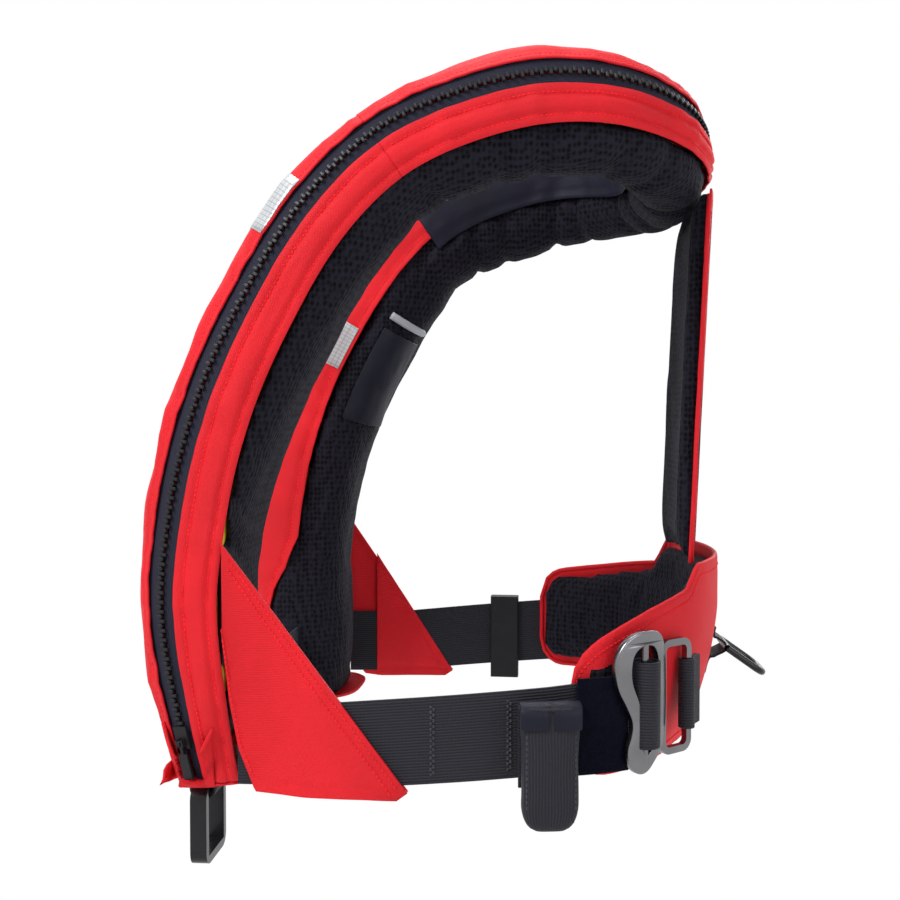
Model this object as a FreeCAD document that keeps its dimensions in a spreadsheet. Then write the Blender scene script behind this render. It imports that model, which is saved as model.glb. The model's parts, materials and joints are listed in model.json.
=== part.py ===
"""Inflatable horseshoe life jacket with its harness, its gas inflator and its zipped cover.

Row frame, millimetres: +X is the wearer's left, -Y is the wearer's front, +Z is up. The
origin is the wearer's torso axis at the mid height of the waist belt.
"""
import FreeCAD
import Part
import Sketcher
import math
import os
from FreeCAD import Placement, Rotation, Vector

os.makedirs("parts", exist_ok=True)
doc = FreeCAD.newDocument("life_jacket")

# ---------------------------------------------------------------- driving dimensions
SIZES = [
    ("half_width", 147.0, "torso axis to the outer side of a front lobe"),
    ("front_reach", 224.0, "torso axis to the foremost point of the lobes"),
    ("back_reach", 121.0, "torso axis to the back of the collar"),
    ("collar_top", 389.0, "belt mid height to the top of the collar"),
    ("lobe_drop", 33.0, "belt mid height to the bottom of the lobes"),
    ("lobe_width", 100.0, "width of a lobe across the chest"),
    ("lobe_depth", 82.0, "depth of a lobe from its front to its mesh back"),
    ("collar_width", 56.0, "width of the collar roll behind the neck"),
    ("collar_depth", 62.0, "height of the collar roll behind the neck"),
    ("right_settle", 14.0, "how far the right half lies closer to the body"),
    ("cloth_wall", 2.0, "thickness of the sewn cover cloth"),
    ("piece_gap", 0.3, "clearance between neighbouring sewn pieces"),
    ("tape_thick", 1.2, "thickness of the zip tape"),
    ("chain_width", 5.6, "width of the closed zip chain"),
    ("chain_thick", 2.6, "thickness of the zip chain"),
    ("bladder_thick", 9.0, "thickness of the folded bladder"),
    ("belt_width", 48.0, "width of the waist webbing"),
    ("belt_thick", 2.4, "thickness of the waist webbing"),
    ("panel_top", 106.0, "height of the top corner of a side panel"),
    ("panel_reach", 60.0, "torso axis to the rear tip of a side panel"),
    ("wing_reach", 150.0, "torso axis to the outer side of the back pad's wings"),
    ("pad_reach", 127.0, "torso axis to the back of the back pad"),
    ("pad_thick", 12.0, "thickness of the back pad with its mesh"),
    ("pad_top", 88.0, "height of the top of the back pad"),
    ("pad_bottom", 20.0, "depth of the back pad below the belt's mid height"),
    ("strap_width", 92.0, "width of the back strap"),
    ("strap_thick", 8.0, "thickness of the back strap with its mesh"),
    ("ring_width", 42.0, "width of a front harness ring"),
    ("ring_height", 47.0, "height of a front harness ring"),
    ("ring_band", 10.0, "width of a front ring's flat section"),
    ("ring_bar", 5.0, "thickness of a front ring's flat section"),
    ("tab_width", 24.0, "width of the ring tabs"),
    ("rear_ring_wire", 4.5, "wire diameter of the rear ring"),
    ("rear_ring_width", 38.0, "width of the rear ring"),
    ("rear_ring_length", 33.0, "length of the rear ring"),
    ("buckle_height", 76.0, "height of the belt buckle"),
    ("buckle_width", 30.0, "width of the buckle's hook plate"),
    ("buckle_plate", 4.0, "thickness of the buckle's hook plate"),
    ("cylinder_dia", 30.0, "diameter of the gas cylinder"),
    ("cylinder_length", 92.0, "length of the gas cylinder's straight body"),
    ("neck_dia", 13.0, "diameter of the cylinder's threaded neck"),
    ("inflator_width", 34.0, "width of the inflator head"),
    ("inflator_depth", 24.0, "depth of the inflator head"),
    ("inflator_height", 36.0, "height of the inflator head"),
    ("oral_tube_dia", 12.0, "outer diameter of the oral inflation tube"),
    ("pouch_width", 32.0, "width of the crotch strap pouch"),
    ("pouch_height", 66.0, "height of the crotch strap pouch"),
    ("pouch_depth", 15.0, "depth of the crotch strap pouch"),
]
sheet = doc.addObject("Spreadsheet::Sheet", "sizes")
for row, (alias, value, meaning) in enumerate(SIZES, start=1):
    sheet.set("A%d" % row, meaning)
    sheet.set("B%d" % row, str(value))
    sheet.setAlias("B%d" % row, alias)
doc.recompute()


def size(alias):
    """Read one driving dimension from the sheet."""
    return float(sheet.get(alias))


GAP = size("piece_gap")
WALL = size("cloth_wall")
ROUNDNESS = 2.6
ZIP_FRONT = 0.66
ZIP_MIDDLE = 0.45
ZIP_REAR = 0.24
MESH_EDGE = -0.38
PAD_DROP = 0.09
LINING_EDGE = 0.62
LAST_LOBE_ROW = 8
STEPS = 2
CHAIN_START = 2
TAPE_FROM = 12
TAPE_TO = 14
BELT_END = 23.0
BUCKLE_AT = 37.0
BUCKLE_CLEAR = 5.8
BUCKLE_LIFT = 18.0
RING_HANG = 11.0
HEAD_STAND = 4.3
PIVOT_BACK = 0.8
LEVER_THICK = 4.0
LEVER_LONG = 20.0
LANYARD_DIA = 2.5
HANDLE_THICK = 6.0
HANDLE_WIDTH = 18.0
HANDLE_LONG = 20.0

subparts = {}


def keep(name, item):
    """Give a document object its node name and remember it for export."""
    item.Label = name
    subparts[name] = item
    return item


def keep_shape(name, shape):
    """Hold a shape made with Part's own functions as a sub-part."""
    feature = doc.addObject("Part::Feature", name)
    feature.Shape = shape
    return keep(name, feature)


# ---------------------------------------------------------------- stations along the horseshoe
class Station:
    """One cross-section of the horseshoe: a middle, two directions and two half sizes."""

    def __init__(self, corner, along, heading, width, depth):
        level = Vector(math.cos(heading), math.sin(heading), 0)
        self.along = along
        self.across = (level - along * level.dot(along)).normalize()
        self.front = self.across.cross(along).normalize()
        self.half_width = width / 2
        self.half_depth = depth / 2
        self.middle = corner - self.across * self.half_width - self.front * self.half_depth

    def mirrored(self, settle):
        """Copy to the wearer's right, moved towards the body by settle."""
        other = Station.__new__(Station)
        other.along = Vector(self.along.x, -self.along.y, -self.along.z)
        other.across = Vector(-self.across.x, self.across.y, self.across.z)
        other.front = Vector(-self.front.x, self.front.y, self.front.z)
        other.half_width = self.half_width
        other.half_depth = self.half_depth
        middle = Vector(-self.middle.x, self.middle.y, self.middle.z)
        other.middle = middle - other.front * settle
        return other

    def point(self, across, front):
        """Place a point given across and front of the middle."""
        return self.middle + self.across * across + self.front * front

    def rim(self, angle, inset):
        """Place a point on the section's rounded outline, inset from it."""
        wide = self.half_width - inset
        deep = self.half_depth - inset
        cosine = math.cos(angle)
        sine = math.sin(angle)
        across = math.copysign(abs(cosine) ** (2 / ROUNDNESS), cosine) * wide
        front = math.copysign(abs(sine) ** (2 / ROUNDNESS), sine) * deep
        return self.point(across, front)


def rim_angle(share):
    """Angle on the outline whose height is a share of the half depth."""
    return math.copysign(math.asin(abs(share) ** (ROUNDNESS / 2)), share)


def even_spline(points):
    """A smooth curve through points, whose parameter counts them."""
    curve = Part.BSplineCurve()
    curve.interpolate(Points=points, Parameters=[float(step) for step in range(len(points))])
    return curve


def smooth_value(values, place):
    """A smooth value between listed ones, at a place counted along them."""
    start = min(int(place), len(values) - 2)
    share = place - start
    near = values[start]
    far = values[start + 1]
    slope_near = (far - values[max(start - 1, 0)]) / 2
    slope_far = (values[min(start + 2, len(values) - 1)] - near) / 2
    lift = share * share * (3 - 2 * share)
    early = share * (1 - share) ** 2
    late = share * share * (share - 1)
    return near + (far - near) * lift + slope_near * early + slope_far * late


def left_stations():
    """Sections from the bottom of the left lobe over the shoulder to behind the neck.

    Each row gives the section's outer front corner as shares of the overall reaches (side,
    front or back, up), its heading in degrees, and how far it has changed from the lobe's
    section (0) to the collar's (1).
    """
    side = size("half_width")
    ahead = size("front_reach")
    behind = size("back_reach")
    top = size("collar_top")
    rows = [
        (0.955, -0.905, None, 0, 0.0, 0.80),
        (0.990, -0.970, 0.055, 0, 0.0, 0.93),
        (1.000, -1.000, 0.180, 0, 0.0, 0.98),
        (1.000, -0.988, 0.288, 0, 0.0, 1.00),
        (0.995, -0.951, 0.406, 0, 0.0, 1.00),
        (0.980, -0.880, 0.535, 0, 0.04, 1.00),
        (0.960, -0.777, 0.658, 0, 0.13, 1.00),
        (0.940, -0.630, 0.792, 0, 0.30, 1.02),
        (0.912, -0.424, 0.908, 2, 0.53, 1.06),
        (0.892, -0.200, 0.969, 6, 0.76, 1.10),
        (0.870, 0.045, 1.000, 12, 0.92, 1.14),
        (0.790, 0.440, 1.000, 32, 0.98, 1.11),
        (0.590, 0.745, 0.987, 55, 1.0, 1.08),
        (0.320, 0.940, 0.967, 74, 1.0, 1.04),
        (0.000, 1.000, 0.952, 90, 1.0, 1.00),
    ]
    corners = []
    headings = []
    widths = []
    depths = []
    for across, forward, up, heading, change, fullness in rows:
        reach = ahead if forward < 0 else behind
        height = -size("lobe_drop") if up is None else up * top
        width = size("lobe_width") * (1 - change) + size("collar_width") * change
        depth = size("lobe_depth") * (1 - change) + size("collar_depth") * change
        corners.append(Vector(across * side, forward * reach, height))
        headings.append(math.radians(heading))
        widths.append(width)
        depths.append(depth * fullness)
    last = len(rows) - 1
    for index in range(last - 1, last - 4, -1):
        corner = corners[index]
        corners.append(Vector(-corner.x, corner.y, corner.z))
        headings.append(math.pi - headings[index])
        widths.append(widths[index])
        depths.append(depths[index])
    route = even_spline(corners)
    sections = []
    for step in range(last * STEPS + 1):
        place = step / STEPS
        along = (route.tangent(place)[0] + Vector(0, 0, 3 * max(0, 1 - place))).normalize()
        heading = smooth_value(headings, place)
        width = smooth_value(widths, place)
        depth = smooth_value(depths, place)
        sections.append(Station(route.value(place), along, heading, width, depth))
    return sections


LEFT = left_stations()
CENTRE = len(LEFT) - 1
SHOULDER = LAST_LOBE_ROW * STEPS


def right_stations():
    """Mirror the left sections; the settle fades out behind the neck."""
    settle = size("right_settle")
    sections = []
    for index, station in enumerate(LEFT):
        share = min(1.0, (CENTRE - index) / (CENTRE - SHOULDER))
        sections.append(station.mirrored(settle * share))
    return sections


RIGHT = right_stations()
LOBES = {"left": LEFT[:SHOULDER + 1], "right": RIGHT[:SHOULDER + 1]}
COLLAR = LEFT[SHOULDER:] + RIGHT[SHOULDER:CENTRE][::-1]
HORSESHOE = LEFT + RIGHT[:CENTRE][::-1]


# ---------------------------------------------------------------- lofted sewn pieces
def band_wire(station, start, stop, outer_inset, inner_inset, count):
    """A closed strip of cloth between two angles of the outline."""
    angles = [start + (stop - start) * step / (count - 1) for step in range(count)]
    outer = [station.rim(angle, outer_inset) for angle in angles]
    inner = [station.rim(angle, inner_inset) for angle in angles]
    edges = [
        even_spline(outer).toShape(),
        Part.makeLine(outer[-1], inner[-1]),
        even_spline(inner[::-1]).toShape(),
        Part.makeLine(inner[0], outer[0]),
    ]
    return Part.Wire(edges)


def pad_wire(station, share, inset):
    """A closed pad: the outline's body side, cut off flat at a share of the half depth."""
    start = rim_angle(share)
    stop = -math.pi - start
    angles = [start + (stop - start) * step / 10 for step in range(11)]
    points = [station.rim(angle, inset) for angle in angles]
    return Part.Wire([even_spline(points).toShape(), Part.makeLine(points[-1], points[0])])


def slab_wire(station, half_across, low, high):
    """A closed slab with bulging ends, lying between two heights in a section."""
    middle = (low + high) / 2
    bulge = (high - low) / 2
    ends = [station.point(-half_across, low), station.point(half_across, low),
            station.point(half_across, high), station.point(-half_across, high)]
    right = even_spline([ends[1], station.point(half_across + bulge, middle), ends[2]])
    left = even_spline([ends[3], station.point(-half_across - bulge, middle), ends[0]])
    return Part.Wire([Part.makeLine(ends[0], ends[1]), right.toShape(), Part.makeLine(ends[2], ends[3]),
                      left.toShape()])


def loft(wires):
    """A smooth closed solid through section wires."""
    solid = Part.makeLoft(wires, True, False)
    if solid.Volume < 0:
        solid.reverse()
    return solid


def cloth_band(stations, start_share, stop_share, outer_inset, inner_inset, over_front, count=9):
    """Loft a strip of cloth; over_front carries it across the front to the inner side."""
    start = rim_angle(start_share)
    stop = math.pi - rim_angle(stop_share) if over_front else rim_angle(stop_share)
    return loft([band_wire(st, start, stop, outer_inset, inner_inset, count) for st in stations])


def envelope(stations, grow):
    """The whole outline of a run of sections, grown by a clearance, for trimming neighbours."""
    wires = []
    for station in stations:
        angles = [2 * math.pi * step / 16 for step in range(16)]
        points = [station.rim(angle, -grow) for angle in angles]
        curve = Part.BSplineCurve()
        curve.interpolate(Points=points, PeriodicFlag=True)
        wires.append(Part.Wire([curve.toShape()]))
    return loft(wires)


def box(low, high):
    """A plain block between two corners."""
    return Part.makeBox(high[0] - low[0], high[1] - low[1], high[2] - low[2], Vector(*low))


def biggest(shape):
    """Keep the largest solid that a cut left."""
    return max(shape.Solids, key=lambda solid: solid.Volume)


def make_covers():
    """Red front covers, side strips, mesh pads and the neck lining."""
    for side, stations in LOBES.items():
        keep_shape(side + "_lobe_cover", cloth_band(stations, ZIP_FRONT, MESH_EDGE, 0, WALL, True, 13))
        keep_shape(side + "_side_strip", cloth_band(stations, MESH_EDGE, ZIP_REAR, 0, WALL, False, 5))
        keep_shape(side + "_mesh_pad", loft([pad_wire(st, MESH_EDGE - PAD_DROP, 0) for st in stations]))
    keep_shape("collar_cover", cloth_band(COLLAR, ZIP_FRONT, LINING_EDGE, 0, WALL, True, 11))
    keep_shape("collar_side_strip", cloth_band(COLLAR, MESH_EDGE, ZIP_REAR, 0, WALL, False, 5))
    keep_shape("collar_mesh_pad", loft([pad_wire(st, MESH_EDGE - PAD_DROP, 0) for st in COLLAR]))
    start = math.pi - rim_angle(LINING_EDGE - 0.02)
    stop = math.pi - rim_angle(MESH_EDGE)
    lining = [band_wire(st, start, stop, 0, WALL, 5) for st in COLLAR]
    keep_shape("neck_lining", loft(lining))


def make_zip():
    """Two tapes under the cloth edges, and the closed chain between them, in three runs each."""
    under = WALL + 3 * GAP
    bottom = under + size("tape_thick")
    crown = WALL - 0.6
    lap = 0.10
    chain_half = size("chain_width") / size("lobe_depth")
    chain_gap = chain_half + 0.02
    strips = {
        "zip_front_tape": (ZIP_MIDDLE + chain_gap, ZIP_FRONT + lap, under, bottom, 0),
        "zip_rear_tape": (ZIP_REAR - lap, ZIP_MIDDLE - chain_gap, under, bottom, 0),
        "zip_chain": (ZIP_MIDDLE - chain_half, ZIP_MIDDLE + chain_half, crown,
                      crown + size("chain_thick"), CHAIN_START),
    }
    for name, (low, high, outer, inner, start) in strips.items():
        runs = [LOBES["left"][start:], COLLAR, LOBES["right"][start:]]
        bands = [cloth_band(run, low, high, outer, inner, False, 4) for run in runs]
        keep_shape(name, Part.makeCompound(bands))


def make_bladder():
    """The folded bladder lies along the whole horseshoe on the mesh pads."""
    edge = 12.0
    solids = []
    for run in (LOBES["left"][1:], COLLAR, LOBES["right"][1:]):
        wires = []
        for station in run:
            low = (MESH_EDGE - PAD_DROP) * station.half_depth + 3 * GAP
            wires.append(slab_wire(station, station.half_width - edge, low, low + size("bladder_thick")))
        solids.append(loft(wires))
    keep_shape("bladder", Part.makeCompound(solids))


def bottom_slab(station, grow, low, high):
    """The space under a lobe between two heights from its bottom edge, its outline grown."""
    angles = [2 * math.pi * step / 24 for step in range(24)]
    curve = Part.BSplineCurve()
    curve.interpolate(Points=[station.rim(angle, -grow) for angle in angles], PeriodicFlag=True)
    slab = Part.Face(Part.Wire([curve.toShape()])).extrude(Vector(0, 0, high - low))
    slab.translate(Vector(0, 0, low))
    return slab


def make_bottoms():
    """A cloth panel closes each lobe below; the left one has the pull handle's slot."""
    for side, stations in LOBES.items():
        panel = bottom_slab(stations[0], 0, -2 * GAP - WALL, -2 * GAP)
        if side == "left":
            panel = panel.cut(handle_slot())
        keep_shape(side + "_bottom_panel", panel)


# ---------------------------------------------------------------- pieces that follow the waist
def ellipse_point(degrees, offset):
    """A point outside the back pad's oval, by angle from the wearer's left side."""
    angle = math.radians(degrees)
    side = size("wing_reach") + offset
    back = size("pad_reach") + offset
    return Vector(side * math.cos(angle), back * math.sin(angle), 0)


def belt_route(end_degrees):
    """The left belt's middle line in plan, from the lobe's side round to its rear end."""
    side = size("half_width")
    reach = size("front_reach")
    lap = size("belt_thick") / 2 + GAP
    points = [
        Vector(side - 0.9, -0.71 * reach, 0),
        Vector(side - 0.5, -0.62 * reach, 0),
        Vector(side + 2.4, -0.49 * reach, 0),
        Vector(side + 4.6, -0.33 * reach, 0),
        Vector(side + 5.8, -0.15 * reach, 0),
    ]
    for step in range(4):
        degrees = 3 + (end_degrees - 3) * step / 3
        points.append(ellipse_point(degrees, lap))
    return points


def belt_lift(forward):
    """The belt climbs towards the back."""
    return -5.0 + 13.0 * max(0.0, min(1.0, (forward + 100.0) / 140.0))


def plan_sheet(points, near, far, low, high):
    """A curved upright sheet between two offsets of a plan route."""
    route = even_spline(points)
    sides = []
    for offset in (near, far):
        line = []
        for step in range(2 * len(points) - 1):
            place = step / 2
            along = route.tangent(place)[0]
            outward = Vector(along.y, -along.x, 0)
            point = route.value(place) + outward * offset
            line.append(Vector(point.x, point.y, low))
        sides.append(line)
    inner, outer = sides
    wire = Part.Wire([
        even_spline(inner).toShape(),
        Part.makeLine(inner[-1], outer[-1]),
        even_spline(outer[::-1]).toShape(),
        Part.makeLine(outer[0], inner[0]),
    ])
    sheet_solid = Part.Face(wire).extrude(Vector(0, 0, high - low))
    if sheet_solid.Volume < 0:
        sheet_solid.reverse()
    return sheet_solid


def webbing(points, width, thick):
    """Webbing stood on edge along a plan route, climbing with the belt."""
    route = even_spline(points)
    wires = []
    for step in range(2 * len(points) - 1):
        place = step / 2
        along = route.tangent(place)[0]
        outward = Vector(along.y, -along.x, 0).normalize() * (thick / 2)
        middle = route.value(place)
        middle.z = belt_lift(middle.y)
        rise = Vector(0, 0, width / 2)
        corners = [middle - outward - rise, middle + outward - rise, middle + outward + rise,
                   middle - outward + rise]
        wires.append(Part.makePolygon(corners + corners[:1]))
    return loft(wires)


def side_outline(points):
    """A side profile given as (forward, up) corners, widened into a trimming prism."""
    wide = 2 * size("wing_reach")
    corners = [Vector(-wide, forward, up) for forward, up in points]
    face = Part.Face(Part.makePolygon(corners + corners[:1]))
    return face.extrude(Vector(2 * wide, 0, 0))


def mirror_x(shape):
    """The same piece on the wearer's right."""
    return shape.mirror(Vector(0, 0, 0), Vector(1, 0, 0))


def on_side(shape, side):
    """The shape itself on the left, or its mirror image on the right."""
    return shape if side == "left" else mirror_x(shape)


def ahead_of(side, share):
    """The space ahead of a seam, which lies further back on the settled right half."""
    settle = size("right_settle") if side == "right" else 0
    wide = 2 * size("wing_reach")
    seam = share * size("front_reach") + settle
    return box((-wide, -2 * size("front_reach"), -wide), (wide, seam, wide))


def make_side_panels():
    """Two cloth layers at each side hold the belt between them and end in a slanting hem."""
    reach = size("front_reach")
    drop = size("lobe_drop")
    outer_profile = side_outline([
        (-0.735 * reach, size("panel_top")),
        (-size("panel_reach"), -0.88 * drop),
        (-size("panel_reach") - 6, -drop),
        (-0.630 * reach, -drop - WALL),
        (-0.700 * reach, -0.1 * drop),
        (-0.735 * reach, 0.5 * size("panel_top")),
    ])
    inner_profile = side_outline([
        (-0.735 * reach, size("panel_top") - 3),
        (-size("panel_reach"), -0.88 * drop),
        (-size("panel_reach") - 6, -drop),
        (-0.735 * reach, -drop),
    ])
    half = size("belt_thick") / 2 + GAP
    route = belt_route(BELT_END)
    low = -size("lobe_drop") - 2 * WALL
    high = size("panel_top") + WALL
    outer = plan_sheet(route[:6], half, half + WALL, low, high).common(outer_profile)
    inner = plan_sheet(route[:6], -half - WALL, -half, low, high).common(inner_profile)
    for side in LOBES:
        body = envelope(LOBES[side][:13], 2 * GAP).fuse(ahead_of(side, -0.735))
        keep_shape(side + "_panel_outer", biggest(on_side(outer, side).cut(body)))
        keep_shape(side + "_panel_inner", biggest(on_side(inner, side).cut(body)))


def make_belts():
    """The waist belt: a long webbing at each side and a short one across the front."""
    belt = webbing(belt_route(BELT_END), size("belt_width"), size("belt_thick"))
    for side in LOBES:
        body = envelope(LOBES[side][:9], 2 * GAP).fuse(ahead_of(side, -0.70))
        keep_shape(side + "_belt", biggest(on_side(belt, side).cut(body)))
    half = size("belt_width") / 2
    middle = -0.74 * size("front_reach")
    wide = 0.45 * size("half_width")
    bridge = box((-wide, middle, -half), (wide, middle + size("belt_thick"), half))
    for side in LOBES:
        bridge = biggest(bridge.cut(envelope(LOBES[side][:9], 2 * GAP)))
    keep_shape("front_belt", bridge)


def oval_shell(near, far, low, high):
    """The space between two ovals outside or inside the back pad's outer face, behind the axis."""
    rings = []
    for offset in (far, near):
        side = size("wing_reach") + offset
        back = size("pad_reach") + offset
        major = max(side, back)
        minor = min(side, back)
        oval = Part.Ellipse(Vector(0, 0, low), major, minor)
        if back > side:
            oval.rotate(Placement(Vector(), Rotation(Vector(0, 0, 1), 90)))
        rings.append(Part.Face(Part.Wire([oval.toShape()])).extrude(Vector(0, 0, high - low)))
    return rings[0].cut(rings[1])


def make_back_pad():
    """The lumbar pad with its side wings: cloth outside, mesh inside."""
    low = -size("pad_bottom")
    high = size("pad_top")
    start = 12.0
    points = [
        Vector(0, start + 16, low),
        Vector(0, start, low + 18),
        Vector(0, start, low + 52),
        Vector(0, start + 18, low + 75),
        Vector(0, 0.78 * size("pad_reach"), high - 20),
        Vector(0, 0.84 * size("pad_reach"), high),
        Vector(0, 1.1 * size("pad_reach"), high),
        Vector(0, 1.1 * size("pad_reach"), low),
    ]
    wide = 2 * size("wing_reach")
    shift = Vector(-wide, 0, 0)
    p = [point + shift for point in points]
    edges = [
        Part.Arc(p[0], p[1] + Vector(0, 4, -12), p[1]).toShape(),
        Part.makeLine(p[1], p[2]),
        Part.Arc(p[2], p[2] + Vector(0, 6, 15), p[3]).toShape(),
        Part.makeLine(p[3], p[4]),
        Part.makeLine(p[4], p[5]),
        Part.makeLine(p[5], p[6]),
        Part.makeLine(p[6], p[7]),
        Part.makeLine(p[7], p[0]),
    ]
    profile = Part.Face(Part.Wire(edges)).extrude(Vector(2 * wide, 0, 0))
    cover = oval_shell(-WALL - 0.4, 0, low - 5, high + 5).common(profile)
    mesh = oval_shell(-size("pad_thick"), -WALL - 0.4 - GAP, low - 5, high + 5).common(profile)
    keep_shape("back_pad_cover", biggest(cover))
    keep_shape("back_pad_mesh", biggest(mesh))


def make_back_strap():
    """The strap from the collar down to the back pad: cloth behind, mesh in front."""
    reach = size("pad_reach")
    thick = size("strap_thick")
    top = 0.86 * size("collar_top")
    bottom = size("pad_top") + GAP
    half = size("strap_width") / 2
    lean = 7.0
    back_low = 0.85 * reach
    back_high = back_low + lean
    layers = {
        "back_strap_cover": (WALL, 0.0),
        "back_strap_mesh": (thick, WALL + GAP),
    }
    body = envelope(COLLAR, GAP)
    for name, (deep, shallow) in layers.items():
        corners = [
            Vector(-half, back_low - deep, bottom),
            Vector(-half, back_low - shallow, bottom),
            Vector(-half, back_high - shallow, top),
            Vector(-half, back_high - deep, top),
        ]
        strap = Part.Face(Part.makePolygon(corners + corners[:1])).extrude(Vector(2 * half, 0, 0))
        pieces = strap.cut(body).Solids
        lower = min(pieces, key=lambda solid: solid.BoundBox.ZMin)
        keep_shape(name, lower)


# ---------------------------------------------------------------- small pieces along the horseshoe
def make_reflectors():
    """Reflective tape across each lobe, laid on the cover."""
    start = rim_angle(ZIP_FRONT + 0.02)
    stop = math.pi - rim_angle(MESH_EDGE + 0.04)
    tapes = []
    for stations in LOBES.values():
        run = stations[TAPE_FROM:TAPE_TO + 1]
        tapes.append(loft([band_wire(st, start, stop, -GAP - 0.5, -GAP, 11) for st in run]))
    keep_shape("reflective_tapes", Part.makeCompound(tapes))


def make_garages():
    """A small open pocket of cloth covers each end of the zip."""
    high = 30.0
    deep = 26.0
    proud = 12.0
    pockets = []
    for side, stations in LOBES.items():
        place = stations[0].rim(rim_angle(ZIP_MIDDLE), 0)
        out = 1 if side == "left" else -1
        bottom = -size("lobe_drop")
        lows = (min(place.x - 6 * out, place.x + proud * out), place.y - deep / 2, bottom)
        highs = (max(place.x - 6 * out, place.x + proud * out), place.y + deep / 2 + 2, bottom + high)
        outer = box(lows, highs)
        edges = [edge for edge in outer.Edges if abs(edge.tangentAt(0).z) > 0.9
                 and abs(edge.CenterOfMass.x) > abs(place.x)]
        outer = outer.makeFillet(5.0, edges)
        hollow_low = (lows[0] - (10 if out > 0 else -WALL), lows[1] + WALL, lows[2] + WALL)
        hollow_high = (highs[0] + (10 if out < 0 else -WALL), highs[1] - WALL, highs[2] + 10)
        shell = outer.cut(box(hollow_low, hollow_high))
        body = envelope(stations[:5], 3 * GAP).fuse(bottom_slab(stations[0], 2 * GAP, -2 * WALL, WALL))
        pockets.append(biggest(shell.cut(body)))
    keep_shape("zip_pockets", Part.makeCompound(pockets))


def local_placement(point, x_axis, z_axis):
    """A placement whose X and Z run along the given directions."""
    y_axis = z_axis.cross(x_axis).normalize()
    x_axis = y_axis.cross(z_axis).normalize()
    z_axis = Vector(z_axis).normalize()
    matrix = FreeCAD.Matrix(
        x_axis.x, y_axis.x, z_axis.x, point.x,
        x_axis.y, y_axis.y, z_axis.y, point.y,
        x_axis.z, y_axis.z, z_axis.z, point.z,
        0, 0, 0, 1)
    return Placement(matrix)


def handle_place():
    """Where the firing handle hangs: beside the lever, inside the left lobe."""
    head = head_corner()
    side = head.x + size("inflator_width") + GAP + LEVER_THICK + GAP + LANYARD_DIA / 2
    return Vector(side, head.y + PIVOT_BACK * size("inflator_depth"), -size("lobe_drop") + 4)


def handle_slot():
    """The slot in the left bottom panel through which the handle is pulled."""
    place = handle_place()
    half_x = HANDLE_THICK / 2 + 1.5
    half_y = HANDLE_WIDTH / 2 + 1.5
    low = (place.x - half_x, place.y - half_y, place.z - 20)
    high = (place.x + half_x, place.y + half_y, place.z + 2)
    return box(low, high)


def head_corner():
    """The inflator head's lowest corner, on the bladder's front."""
    station = LEFT[3]
    low = (MESH_EDGE - PAD_DROP) * station.half_depth + size("bladder_thick") + 4 * GAP
    middle = station.point(0, low)
    return Vector(middle.x - size("inflator_width") / 2, middle.y - size("inflator_depth") - HEAD_STAND, 22.0)


# ---------------------------------------------------------------- hard pieces
def add_rectangle(sketch, wide, tall):
    """A rectangle centred on the sketch's origin, with its two sizes bound to the sheet."""
    first = sketch.GeometryCount
    corners = [(-1, -1), (1, -1), (1, 1), (-1, 1)]
    for index, corner in enumerate(corners):
        other = corners[(index + 1) % 4]
        line = Part.LineSegment(Vector(corner[0], corner[1], 0), Vector(other[0], other[1], 0))
        sketch.addGeometry(line, False)
    for index in range(4):
        after = first + (index + 1) % 4
        sketch.addConstraint(Sketcher.Constraint("Coincident", first + index, 2, after, 1))
    sketch.addConstraint(Sketcher.Constraint("Horizontal", first))
    sketch.addConstraint(Sketcher.Constraint("Vertical", first + 1))
    sketch.addConstraint(Sketcher.Constraint("Horizontal", first + 2))
    sketch.addConstraint(Sketcher.Constraint("Vertical", first + 3))
    sketch.addConstraint(Sketcher.Constraint("Symmetric", first, 1, first + 2, 1, -1, 1))
    width = sketch.addConstraint(Sketcher.Constraint("DistanceX", first, 1, first, 2, 2.0))
    height = sketch.addConstraint(Sketcher.Constraint("DistanceY", first + 1, 1, first + 1, 2, 2.0))
    sketch.setExpression("Constraints[%d]" % width, wide)
    sketch.setExpression("Constraints[%d]" % height, tall)


def plate_body(name, outer, inner, thick, corner):
    """A flat plate with rounded corners and, where inner is given, a window through it."""
    body = doc.addObject("PartDesign::Body", name)
    plane = [item for item in body.Origin.OriginFeatures if item.Role == "XY_Plane"][0]
    sketch = body.newObject("Sketcher::SketchObject", name + "_outline")
    sketch.AttachmentSupport = [(plane, "")]
    sketch.MapMode = "FlatFace"
    add_rectangle(sketch, *outer)
    pad = body.newObject("PartDesign::Pad", name + "_pad")
    pad.Profile = sketch
    pad.setExpression("Length", thick)
    doc.recompute()
    upright = ["Edge%d" % (index + 1) for index, edge in enumerate(pad.Shape.Edges)
               if abs(edge.tangentAt(edge.FirstParameter).z) > 0.9]
    rounding = body.newObject("PartDesign::Fillet", name + "_corners")
    rounding.Base = (pad, upright)
    rounding.setExpression("Radius", corner)
    doc.recompute()
    if inner:
        window = body.newObject("Sketcher::SketchObject", name + "_window")
        window.AttachmentSupport = [(plane, "")]
        window.MapMode = "FlatFace"
        add_rectangle(window, *inner)
        pocket = body.newObject("PartDesign::Pocket", name + "_opening")
        pocket.Profile = window
        pocket.Type = 1
        pocket.Reversed = True
        doc.recompute()
        if pocket.Shape.Volume >= rounding.Shape.Volume:
            raise RuntimeError(name + ": the window cuts nothing")
    return body


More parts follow.
